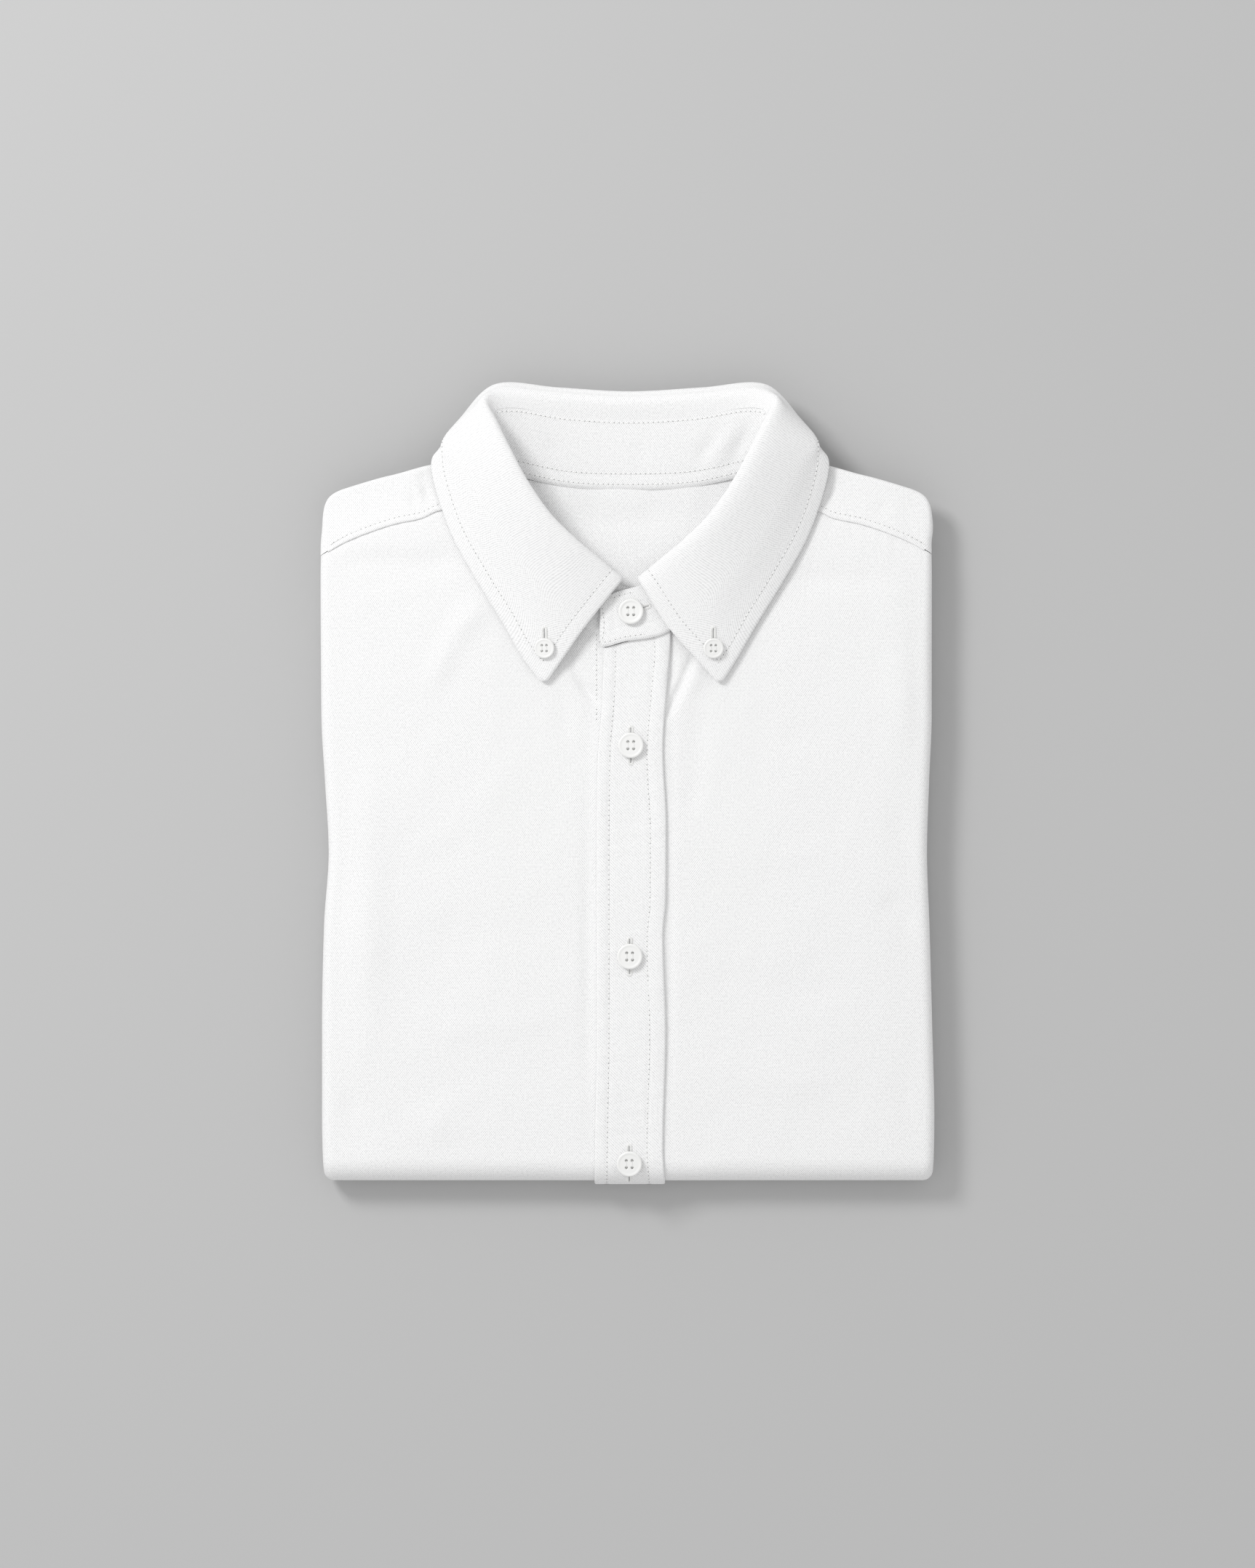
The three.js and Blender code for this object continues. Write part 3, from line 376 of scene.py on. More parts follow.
# ---- the pack's surface ----
@dataclass
class PackForm:
    """The outer surface of the folded pack: top, bottom fold, underside and tail fold."""

    left_edge: Profile = field(default_factory=lambda: Profile(SIDE_EDGES, 1))
    right_edge: Profile = field(default_factory=lambda: Profile(SIDE_EDGES, 2))
    shoulder_table: Profile = field(default_factory=lambda: Profile(SHOULDER_LINE))
    front_table: Profile = field(default_factory=lambda: Profile(FRONT_TOP))
    placket_left: Profile = field(default_factory=lambda: Profile(PLACKET_EDGES, 1))
    placket_right: Profile = field(default_factory=lambda: Profile(PLACKET_EDGES, 2))
    placket_corner: tuple[float, float] = (-11.0, 60.6)  # x, y of its upper left corner
    placket_slope: float = 0.29
    side_sink: float = 0.6  # how far the top falls towards the side folds
    side_reach: float = 22.0
    shoulder_sink: float = 2.6  # how far it falls towards the shoulders
    shoulder_reach: float = 34.0
    calm_bottom: float = 26.0  # the bottom edge keeps free of creases over this much
    calm_side: tuple[float, float] = (3.0, 10.0)  # from the side, and over how much
    under_middle: tuple[float, float] = (34.0, 12.0)  # the same underneath, from the middle
    under_side: tuple[float, float] = (8.0, 10.0)
    lifted: tuple[float, float] = (STAND_LEFT - 8.0, STAND_RIGHT + 18.0)  # x range over the placket
    lift_reach: float = 14.0
    upper_blend: tuple[float, float] = (60.0, 50.0)  # where the side fold's radius changes
    tail_blend: float = 0.16  # share of the underside over which the tail's corners round

    def side_edge(self, sign: float, y: Array) -> Array:
        """Distance of a side fold from the middle."""
        return np.abs(self.left_edge(y)) if sign < 0 else self.right_edge(y)

    def from_side(self, x: Array, y: Array) -> Array:
        """Distance from the nearer side fold."""
        edge = np.where(x < 0, -self.left_edge(y), self.right_edge(y))
        return edge - np.abs(x)

    def shoulder(self, x: Array) -> Array:
        """Y of the shoulder line and the back neck seam."""
        return self.shoulder_table(np.abs(x))

    def front_top(self, x: Array) -> Array:
        """Y of the fronts' top edge."""
        return self.front_table(np.abs(x))

    def placket_top(self, x: Array) -> Array:
        """Y of the placket's top edge, under the buttoned stand."""
        corner_x, corner_y = self.placket_corner
        return corner_y + self.placket_slope * (x - corner_x)

    def shoulder_drop(self, x: Array, y: Array) -> Array:
        """How far the pack sinks near the shoulder line."""
        return self.shoulder_sink * (1 - fade(self.shoulder(x) - y, 0.0, self.shoulder_reach))

    def calm_height(self, x: Array, y: Array) -> Array:
        """Height of the fronts and yoke without creases."""
        side_drop = self.side_sink * (1 - fade(self.from_side(x, y), 0.0, self.side_reach))
        return PACK_HEIGHT - side_drop - self.shoulder_drop(x, y)

    def top_height(self, x: Array, y: Array) -> Array:
        """Height of the fronts and yoke with their creases and soft unevenness.

        Args:
            x: distances across.
            y: distances along.

        Returns:
            The height at each point.
        """
        rise = sum(crease.rise(x, y) for crease in BODY_CREASES)
        for height, size, seed in UNEVENNESS:
            rise = rise + height * ripple(x, y, size, seed)
        felt = fade(y, BOTTOM_EDGE, self.calm_bottom) * fade(self.from_side(x, y), *self.calm_side)
        return self.calm_height(x, y) + rise * felt

    def underside(self, x: Array) -> Array:
        """Height of the flat underside, lifted by the placket's thickness in the middle."""
        left, right = self.lifted
        reach = np.maximum(np.maximum(left - x, x - right), 0.0)
        return PLACKET_LIFT * (1 - fade(reach, 0.0, self.lift_reach))

    def under_height(self, x: Array, y: Array) -> Array:
        """Height of the underside with its creases."""
        rise = sum(crease.rise(x, y) for crease in UNDERSIDE_CREASES)
        felt = fade(np.abs(x), *self.under_middle) * fade(self.from_side(x, y), *self.under_side)
        return self.underside(x) - rise * felt

    def bottom_fold(self, x: Array) -> tuple[Array, Array, Array]:
        """Sizes of the bottom fold.

        Args:
            x: distances across.

        Returns:
            The height that the fold starts from, its radius and the y of its middle.
        """
        low = self.underside(x)
        level = self.calm_height(x, np.full(x.shape, BOTTOM_EDGE + PACK_HEIGHT / 2))
        radius = (level - low) / 2
        return low, radius, BOTTOM_EDGE + radius

    def place(
        self, x: Array, run: Array, share: Array, top_y: Array
    ) -> tuple[Array, Array, Array, Array]:
        """Places on the pack's outer surface.

        Args:
            x: distance across, for each point.
            run: the number of the stretch along the front that each point lies on.
            share: how far along that stretch.
            top_y: where the top stretch starts.

        Returns:
            y, z and the outward direction's y and z, for each point.
        """
        low, radius, fold_y = self.bottom_fold(x)
        y_top = lerp(top_y, fold_y, np.where(run == Run.TOP.value, share, 0.0))
        y_under = lerp(fold_y, TAIL_END, share)
        turn = np.pi * share
        tail = np.pi * TAIL_TURN * share
        level = np.zeros(x.shape)
        runs = [run == stretch.value for stretch in Run]
        y = np.select(runs, [
            y_top, fold_y - radius * np.sin(turn), y_under, TAIL_END + TAIL_FOLD_RADIUS * np.sin(tail),
        ])
        z = np.select(runs, [
            self.top_height(x, y_top), low + radius * (1 + np.cos(turn)),
            self.under_height(x, y_under), low + TAIL_FOLD_RADIUS * (1 - np.cos(tail)),
        ])
        normal_y = np.select(runs, [level, -np.sin(turn), level, np.sin(tail)])
        normal_z = np.select(runs, [level + 1, np.cos(turn), level - 1, -np.cos(tail)])
        return y, z, normal_y, normal_z

    def side_radius(self, run: Array, share: Array, y: Array) -> Array:
        """Radius of the side fold along the front.

        Args:
            run: the number of the stretch that each point lies on.
            share: how far along that stretch.
            y: distances along.

        Returns:
            The radius at each point.
        """
        upper = lerp(BUNDLE_RADIUS, YOKE_BUNDLE_RADIUS, fade(y, *self.upper_blend))
        to_tail = np.where(run == Run.UNDERSIDE.value, 1 - share, 0.0)
        lower = lerp(TAIL_CORNER_RADIUS, BUNDLE_RADIUS, fade(to_tail, 0.0, self.tail_blend))
        return np.where(run <= Run.BOTTOM_FOLD.value, upper, lower)


@dataclass(frozen=True)
class Path:
    """The stations along a piece of the body: a stretch number and a share for each."""

    run: Array
    share: Array

    @staticmethod
    def whole(steps: tuple[int, int, int, int]) -> "Path":
        """Stations for all four stretches.

        Args:
            steps: the number of steps along each stretch.

        Returns:
            The path from the neck to the tail.
        """
        run: list[int] = []
        share: list[float] = []
        for stretch, count in zip(Run, steps):
            first = 0 if stretch is Run.TOP else 1
            run += [stretch.value] * (count + 1 - first)
            share += [index / count for index in range(first, count + 1)]
        return Path(np.array(run), np.array(share))


FORM = PackForm()


# ---- meshes ----
def grid_faces(rows: int, columns: int, layer_two: int) -> tuple[Array, Array]:
    """Quads of a closed wall over a grid of rows and columns, and the grid index pairs of its rim.

    Args:
        rows: points along the first axis.
        columns: points along the second axis.
        layer_two: index of the inner layer's first point.

    Returns:
        All quads, and the rim loop's indices in the outer layer.
    """
    index = np.arange(rows * columns).reshape(rows, columns)
    a, b, c, d = index[:-1, :-1], index[:-1, 1:], index[1:, 1:], index[1:, :-1]
    outer = np.stack([a, b, c, d], axis=-1).reshape(-1, 4)
    inner = np.stack([a, d, c, b], axis=-1).reshape(-1, 4) + layer_two
    rim = np.concatenate([index[0, :-1], index[:-1, -1], index[-1, :0:-1], index[:0:-1, 0]])
    following = np.roll(rim, -1)
    sides = np.stack([following, rim, rim + layer_two, following + layer_two], axis=-1)
    return np.concatenate([outer, inner, sides]), rim


def spans(grid: Array, axis: int) -> Array:
    """Running length along one axis of a grid of points.

    Args:
        grid: the points.
        axis: the axis to follow.

    Returns:
        The length from that axis's first point to each point.
    """
    step = np.linalg.norm(np.diff(grid, axis=axis), axis=-1)
    zero = np.zeros_like(np.take(step, [0], axis=axis))
    return np.concatenate([zero, np.cumsum(step, axis=axis)], axis=axis)


def grid_normals(grid: Array) -> Array:
    """Unit directions out of a grid's first-axis by second-axis surface."""
    return unit(np.cross(np.gradient(grid, axis=0), np.gradient(grid, axis=1)))


@dataclass
class Wall:
    """A closed cloth wall between an outer and an inner grid of points, in millimetres."""

    outer: Array
    inner: Array
    flat: Array | None = None  # where each point lies on the cut piece, if not along the grid

    def part(self, stations: slice) -> "Wall":
        """The stretch of the wall between two stations of its first axis."""
        return Wall(self.outer[stations], self.inner[stations])

    def uv(self) -> Array:
        """Cloth coordinates of each point.

        Returns:
            Metres across and along the piece as it was cut.
        """
        if self.flat is not None:
            return self.flat * MM
        return np.stack([spans(self.outer, 0), spans(self.outer, 1)], axis=-1) * MM

    def facing_up(self, share: float) -> tuple[Array, Array]:
        """The face that looks up.

        Args:
            share: the place across the wall where that is judged.

        Returns:
            The face's grid and its outward directions.
        """
        out = unit(self.outer - self.inner)
        column = int(share * (self.outer.shape[1] - 1))
        if np.median(out[:, column, 2]) > 0:
            return self.outer, out
        return self.inner, -out


def mesh_object(name: str, walls: Sequence[Wall]) -> Object:
    """One object from one or more closed walls, smooth but for their rims.

    Args:
        name: the object's name.
        walls: the walls that it joins.

    Returns:
        The new object, linked to the scene.
    """
    points: list[Array] = []
    faces: list[Array] = []
    coordinates: list[Array] = []
    rims: list[Array] = []
    count = 0
    for wall in walls:
        rows, columns = wall.outer.shape[:2]
        size = rows * columns
        quads, rim = grid_faces(rows, columns, size)
        if signed_volume(wall, quads) < 0:
            quads = quads[:, ::-1]
        points += [wall.outer.reshape(-1, 3), wall.inner.reshape(-1, 3)]
        coordinates += [wall.uv().reshape(-1, 2)] * 2
        faces.append(quads + count)
        rims += [np.stack([rim, np.roll(rim, -1)], -1) + count + layer for layer in (0, size)]
        count += 2 * size
    mesh = bpy.data.meshes.new(name)
    quads = np.concatenate(faces)
    mesh.from_pydata((np.concatenate(points) * MM).tolist(), [], quads.tolist())
    uv_layer = mesh.uv_layers.new(name=CLOTH_MAP)
    uv_layer.data.foreach_set("uv", np.concatenate(coordinates)[quads.reshape(-1)].reshape(-1))
    mark_sharp(mesh, np.concatenate(rims))
    mesh.validate()
    return smooth_object(name, mesh)


def smooth_object(name: str, mesh: Mesh) -> Object:
    """An object with smooth faces, linked to the scene."""
    mesh.polygons.foreach_set("use_smooth", np.ones(len(mesh.polygons), dtype=bool))
    return linked(bpy.data.objects.new(name, mesh))


def signed_volume(wall: Wall, quads: Array) -> float:
    """Measures which way a wall's quads face.

    Args:
        wall: the wall.
        quads: its faces.

    Returns:
        Six times the volume inside, negative when they face inwards.
    """
    points = np.concatenate([wall.outer.reshape(-1, 3), wall.inner.reshape(-1, 3)])
    a, b, c, d = (points[quads[:, corner]] for corner in range(4))
    return float(np.sum(a * np.cross(b, c)) + np.sum(a * np.cross(c, d)))


def mark_sharp(mesh: Mesh, pairs: Array) -> None:
    """Marks edges as sharp.

    Args:
        mesh: the mesh.
        pairs: the two vertices of each edge, in either order.
    """
    ends = np.empty(len(mesh.edges) * 2, dtype=int)
    mesh.edges.foreach_get("vertices", ends)
    ends = np.sort(ends.reshape(-1, 2), axis=1)
    wanted = np.sort(pairs, axis=1)
    size = len(mesh.vertices)
    sharp = np.isin(ends[:, 0] * size + ends[:, 1], wanted[:, 0] * size + wanted[:, 1])
    attribute = mesh.attributes.new("sharp_edge", "BOOLEAN", "EDGE")
    attribute.data.foreach_set("value", sharp)


def linked(obj: Object) -> Object:
    """The object, linked to the scene's collection."""
    bpy.context.scene.collection.objects.link(obj)
    return obj


# ---- the fronts ----
@dataclass
class Front:
    """One front of the shirt: it runs down the pack, back underneath and round its side."""

    name: str
    sign: float
    inner: float  # x of the front's inner edge
    nodes: tuple[str, ...]
    thickness: float = CLOTH
    path_steps: tuple[int, int, int, int] = (170, 20, 60, 8)
    flat_steps: int = 88
    side_steps: int = 14
    tuck_steps: int = 6
    spread: float = 1.2  # draws the columns together towards the placket
    trial_x: float = 120.0  # where the side fold's y is read first
    pucker: float = 0.16
    pucker_reach: float = 5.0
    seam_dip: float = 0.6  # how deep the cloth dives under the yoke's edge
    dip_reach: float = 0.9
    dip_from: float = 62.0  # how far out the dive starts
    into_stand: float = 1.5  # how far the neck edge runs on between the stand's plies

    def columns(self) -> tuple[Array, Array]:
        """Lays out the columns across the front.

        Returns:
            The part number and the share of each column.
        """
        part = [Part.FLAT.value] * (self.flat_steps + 1)
        share = list(np.linspace(0, 1, self.flat_steps + 1))
        for stretch, steps in ((Part.SIDE_FOLD, self.side_steps), (Part.TUCK, self.tuck_steps)):
            part += [stretch.value] * steps
            share += [index / steps for index in range(1, steps + 1)]
        return np.array(part), np.array(share)

    def surface(self, lift: float) -> Array:
        """Grid of points that far above the pack's own surface.

        Args:
            lift: distance out from the pack's surface.

        Returns:
            Points, first axis across the front from its inner edge, second axis along it.
        """
        part, across = self.columns()
        path = Path.whole(self.path_steps)
        part, run = np.meshgrid(part, path.run, indexing="ij")
        across, share = np.meshgrid(across, path.share, indexing="ij")
        near = np.full(part.shape, self.sign * self.trial_x)
        trial_y = FORM.place(near, run, share, FORM.front_top(near))[0]
        radius = FORM.side_radius(run, share, trial_y)
        flat_end = FORM.side_edge(self.sign, trial_y) - radius
        parts = [part == stretch.value for stretch in Part]
        is_flat, is_fold = parts[:2]
        on_top = run == Run.TOP.value
        x_flat = lerp(self.inner, self.sign * flat_end, across ** self.spread)
        held = np.where(is_flat, x_flat, self.sign * flat_end)
        turn = np.pi * across
        tip = radius + lift
        level = np.full(part.shape, lift)
        out = np.select(parts, [
            np.abs(held), flat_end + tip * np.sin(turn), flat_end - TUCK_LENGTH * across,
        ])
        depth = np.select(parts, [level, -radius + tip * np.cos(turn), -2 * radius - level])
        ends_at = FORM.front_top(np.where(is_fold, out, held))
        ends_at = ends_at + self.into_stand * (1 - fade(np.abs(held), NECK_HALF, 8.0))
        y, z, normal_y, normal_z = FORM.place(held, run, share, ends_at)
        from_seam = FORM.front_top(x_flat) - y
        dip = self.seam_dip * bell(from_seam, self.dip_reach) * fade(np.abs(x_flat), self.dip_from, 6.0)
        depth = depth + self.seam_pucker(held, y) * on_top * is_flat - dip * on_top
        x = np.where(is_flat, x_flat, self.sign * out)
        return np.stack([x, y + normal_y * depth, z + normal_z * depth], axis=-1)

    def seam_pucker(self, x: Array, y: Array) -> Array:
        """The small waves that the yoke seam draws into the cloth.

        Args:
            x: distances across.
            y: distances along.

        Returns:
            Their height at each point.
        """
        from_seam = np.maximum(FORM.front_top(x) - y, 0)
        outside = fade(np.abs(x), 64.0, 6.0)
        wave = np.sin(x * 0.82 + 1.7 * np.sin(x * 0.11))
        return self.pucker * wave * outside * np.exp(-from_seam / self.pucker_reach)

    def build(self) -> Object:
        """Makes the front as a thin closed shell.

        Returns:
            The piece, which stands for its solids.
        """
        outer = self.surface(0.0)
        flat = np.stack([spans(outer, 0), spans(outer, 1) - outer[:, :1, 1]], axis=-1)
        piece = mesh_object(self.name, [Wall(outer, self.surface(-self.thickness), flat)])
        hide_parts(*self.nodes)
        return piece


FRONTS = (
    Front("front_left", -1.0, STAND_RIGHT, ("front_button_side", "button_stand")),
    Front("front_right", 1.0, STAND_RIGHT + SEAM_GAP, ("front_placket_side",)),
)


# ---- the placket ----
@dataclass
class Placket:
    """The strip down the middle of the fronts, round the bottom fold and back underneath."""

    low: float = SEAM_GAP
    high: float = PLACKET_LIFT
    path_steps: tuple[int, int, int, int] = (230, 26, 60, 8)
    steps_across: int = 40
    stitch_insets: tuple[float, float] = (5.5, 7.2)  # from the left and the right edge
    edge_round: float = 0.5
    edge_fall: float = 0.45  # share of the thickness that an edge rounds off
    groove: float = 0.2
    groove_reach: float = 0.8
    swell: float = 0.24  # how far the cloth stands up between an edge and its stitches
    pucker: float = 0.07

    def surface(self, outer: bool) -> Array:
        """Grid of one face.

        Args:
            outer: whether it is the face that shows.

        Returns:
            Points, first axis across, second along.
        """
        path = Path.whole(self.path_steps)
        even = np.linspace(0, 1, self.steps_across + 1)
        shares = 0.5 * (0.5 - 0.5 * np.cos(np.pi * even)) + 0.5 * even
        across, run = np.meshgrid(shares, path.run, indexing="ij")
        _, share = np.meshgrid(shares, path.share, indexing="ij")
        zero = np.zeros(across.shape)
        middle_y = FORM.place(zero, run, share, FORM.placket_top(zero))[0]
        left, right = FORM.placket_left(middle_y), FORM.placket_right(middle_y)
        x = lerp(left, right, across)
        y, z, normal_y, normal_z = FORM.place(x, run, share, FORM.placket_top(x))
        lift = self.face(x, y, (x - left, right - x), run) if outer else self.low + zero
        return np.stack([x, y + normal_y * lift, z + normal_z * lift], axis=-1)

    def face(
        self, x: Array, y: Array, from_edges: tuple[Array, Array], run: Array
    ) -> Array:
        """The outer face, with rounded edges, stitch grooves and small puckers.

        Args:
            x: distances across.
            y: distances along.
            from_edges: distances from the left and from the right edge.
            run: the number of the stretch that each point lies on.

        Returns:
            How far the face stands out at each point.
        """
        on_top = run == Run.TOP.value
        wave = 0.75 + 0.35 * ripple(x * 0.2, y, 5.5, 21)
        held = np.clip(np.minimum(*from_edges) / self.edge_round, 0, 1)
        fall = (self.high - self.low) * self.edge_fall
        lift = self.high - fall * (1 - np.sqrt(1 - (1 - held) ** 2))
        for from_edge, inset in zip(from_edges, self.stitch_insets):
            lift = lift - self.groove * bell(from_edge - inset, self.groove_reach)
            between = np.clip(from_edge / inset, 0, 1)
            lift = lift + self.swell * np.sin(np.pi * between) * wave * on_top
        return lift + self.pucker * ripple(x, y, 4.5, 33) * on_top

    def build(self) -> Object:
        """Makes the placket as a thin closed shell.

        Returns:
            The piece, which stands for its solid.
        """
        piece = mesh_object("placket_cloth", [Wall(self.surface(True), self.surface(False))])
        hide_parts("front_placket")
        return piece


PLACKET = Placket()


# ---- the yoke ----
OUTLINE_CORNER = (  # distance from the middle, y: round the shoulder's corner to the collar
    (137.0, 114.5), (136.6, 120.5), (135.6, 125.4), (133.4, 129.0), (129.2, 131.6), (122.0, 134.0),
    (116.0, 135.8), (110.0, 137.5), (103.0, 139.2), (96.0, 141.2), (90.0, 142.8), (83.0, 144.0),
    (76.0, 144.4), (70.0, 143.4), (64.0, 141.8),
)
SEAM_ROWS = (  # outer face: up from the seam, height there; inner face: the same two
    (-0.6, -0.2, -0.6, -0.2), (-0.7, 0.2, -0.55, 0.0), (-0.4, 0.425, -0.3, 0.0), (0.2, 0.575, 0.2, 0.0),
    (0.8, 0.6, 0.8, 0.0), (1.6, 0.45, 1.6, 0.0), (2.2, 0.275, 2.2, 0.0), (2.8, 0.375, 2.8, 0.0),
    (4.0, 0.3, 4.0, 0.0), (6.0, 0.15, 6.0, 0.0),
)


def neck_hollow(x: Array, y: Array) -> Array:
    """The dip of the back yoke's inside between the collar's sides.

    Args:
        x: distances across.
        y: distances along.

    Returns:
        How far the cloth sinks at each point.
    """
    across = 1 - fade(np.abs(x), 22.0, 24.0)
    along = fade(y, 66.0, 22.0) * fade(FORM.shoulder(x) - y, 0.0, 16.0)
    return NECK_HOLLOW * across * along


@dataclass
class Yoke:
    """The shoulder yoke: both shoulders' top cloth with its folds, and the back inside the neck."""

    outline_steps: int = 130
    top_steps: int = 40
    fold_steps: int = 14
    tuck_steps: int = 6
    back_points: tuple[int, int] = (91, 71)
    seam_band: float = 9.0  # how far up from the seam its relief reaches
    tuck: float = 20.0
    outline_start: tuple[float, float] = (102.2, 108.0)  # y of the outline's first two points
    corner_blend: tuple[float, float] = (112.0, 18.0)  # y where the folds' radius changes
    end_blend: float = 11.0  # over this much the lower end is drawn to the seam
    end_gap: float = 0.1
    overlap: float = 2.0  # the shoulders and the back each run this far past their join
    into_stand: float = 1.6  # how far the back runs on between the stand's plies
    wrinkle: float = 0.22

    def outline(self, sign: float) -> Array:
        """The shoulder's outline from the side seam end, round the corner, to the collar.

        Args:
            sign: the side, -1 for the left one and 1 for the right one.

        Returns:
            The outline's x and y.
        """
        low = [(float(FORM.side_edge(sign, np.array(y))), y) for y in self.outline_start]
        points = np.array(low + list(OUTLINE_CORNER))
        line = catmull(points, np.linspace(0, 1, self.outline_steps + 1))
        line[:, 0] *= sign
        return line

    def shoulder(self, sign: float, lift: float) -> tuple[Array, Array]:
        """Grid of one shoulder: outline first axis; seam, top, fold and tuck second axis.

        Args:
            sign: the side, -1 for the left one and 1 for the right one.
            lift: distance out from the pack's surface.

        Returns:
            The points, and where they lie on the cut cloth.
        """
        line = self.outline(sign)
        step = np.gradient(line, axis=0)
        out = unit(np.stack([step[:, 1], -step[:, 0]], axis=-1) * sign)
        to_corner = fade(line[:, 1], *self.corner_blend)
        radius = lerp(YOKE_BUNDLE_RADIUS, SHOULDER_FOLD_RADIUS, to_corner)[:, None]
        centre = line - out * radius
        share = np.linspace(0, 1, len(line))
        seam_x = lerp(np.abs(centre[0, 0]), YOKE_INNER_X - self.overlap, share ** 1.15) * sign
        seam = np.stack([seam_x, FORM.front_top(seam_x) + SEAM_GAP], axis=-1)
        near_end = 1 - fade(line[:, 1], line[0, 1], self.end_blend)
        centre = centre + np.outer(near_end, [0.0, seam[0, 1] + self.end_gap - centre[0, 1]])
        reach = np.clip((centre[:, 1] - seam[:, 1]) / self.seam_band, 0.01, 1)
        rows: list[Array] = []
        cut: list[Array] = []
        side = slice(2, 4) if lift < 0 else slice(0, 2)
        for distance, rise in (row[side] for row in SEAM_ROWS):
            flat = seam + np.outer(np.where(distance > 0, reach, 1.0), [0.0, distance])
            rows.append(self.at_height(flat, lift + rise * (0.4 + 0.6 * reach)))
            cut.append(flat)
        start = seam + np.outer(reach, [0.0, self.seam_band])
        for across in np.linspace(0, 1, self.top_steps + 1) ** 0.9:
            flat = lerp(start, centre, across)
            rows.append(self.at_height(flat, lift + np.zeros(len(flat))))
            cut.append(flat)
        top = self.at_height(centre, np.zeros(len(centre)))[:, 2]
        tip = radius[:, 0] + lift
        for turn in np.linspace(0, np.pi, self.fold_steps + 1)[1:]:
            flat = centre + out * (tip * np.sin(turn))[:, None]
            seam_y = FORM.front_top(flat[:, 0]) + SEAM_GAP + self.end_gap
            flat[:, 1] += near_end * (seam_y - flat[:, 1])[0]
            rows.append(np.column_stack([flat, top - radius[:, 0] + tip * np.cos(turn)]))
            cut.append(centre + out * radius * turn)
        for back in np.linspace(0, 1, self.tuck_steps + 1)[1:]:
            flat = centre - out * self.tuck * back
            rows.append(np.column_stack([flat, top - 2 * radius[:, 0] - lift]))
            cut.append(centre + out * (radius * np.pi + self.tuck * back))
        return np.stack(rows, axis=1), np.stack(cut, axis=1)

    def at_height(self, flat: Array, lift: Array) -> Array:
        """Points above the pack's surface at flat places."""
        z = FORM.top_height(flat[:, 0], flat[:, 1]) + lift
        return np.column_stack([flat, z])

    def back(self, lift: float) -> Array:
        """Grid of the back layer, whose inner face shows inside the collar.

        Args:
            lift: distance above the layer's own height.

        Returns:
            Points, first axis across, second along.
        """
        shares = [np.linspace(0, 1, count) for count in self.back_points]
        across, along = np.meshgrid(*shares, indexing="ij")
        half = YOKE_INNER_X + self.overlap
        x = lerp(-half, half, across)
        end = FORM.shoulder(x) - SHOULDER_FOLD_RADIUS * fade(np.abs(x), NECK_HALF, 12.0)
        end = end + self.into_stand * (1 - fade(np.abs(x), NECK_HALF, 10.0))
        y = lerp(YOKE_BACK_END, end, along)
        felt = ease((40.0 - np.abs(x)) / 16.0) * fade(y, 60.0, 12.0)
        wrinkle = self.wrinkle * ripple(x, y, 11.0, 44) * felt
        level = CLOTH - 2 * SHOULDER_FOLD_RADIUS + lift
        return np.stack([x, y, FORM.top_height(x, y) + level - neck_hollow(x, y) + wrinkle], axis=-1)

    def build(self) -> list[Object]:
        """Makes the yoke's pieces.

        Returns:
            One shell for each shoulder and one for the back, which stands for the yoke's solid.
        """
        pieces: list[Object] = []
        for side, sign in (("left", -1.0), ("right", 1.0)):
            outer, cut = self.shoulder(sign, 0.0)
            inner, _ = self.shoulder(sign, -CLOTH)
            pieces.append(mesh_object(f"yoke_{side}", [Wall(outer, inner, cut)]))
        pieces.append(mesh_object("yoke_back", [Wall(self.back(0.0), self.back(-CLOTH))]))
        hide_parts("yoke")
        return pieces


# ---- the folded layers ----
@dataclass(frozen=True)
class Ply:
    """One folded ply inside the pack: its height range, how far it reaches and its outline's seed."""

    low: float
    high: float
    top_y: float
    side: float
    seed: int
    bottom_y: float = -160.0


PLIES = (
    Ply(1.5, 4.2, -2.0, 1.8, 1), Ply(4.3, 7.0, -4.5, 3.5, 2), Ply(7.1, 9.6, -1.0, 2.2, 3),
    Ply(9.7, 12.0, -3.0, 2.8, 4), Ply(12.1, 14.4, -1.5, 1.9, 5),
)


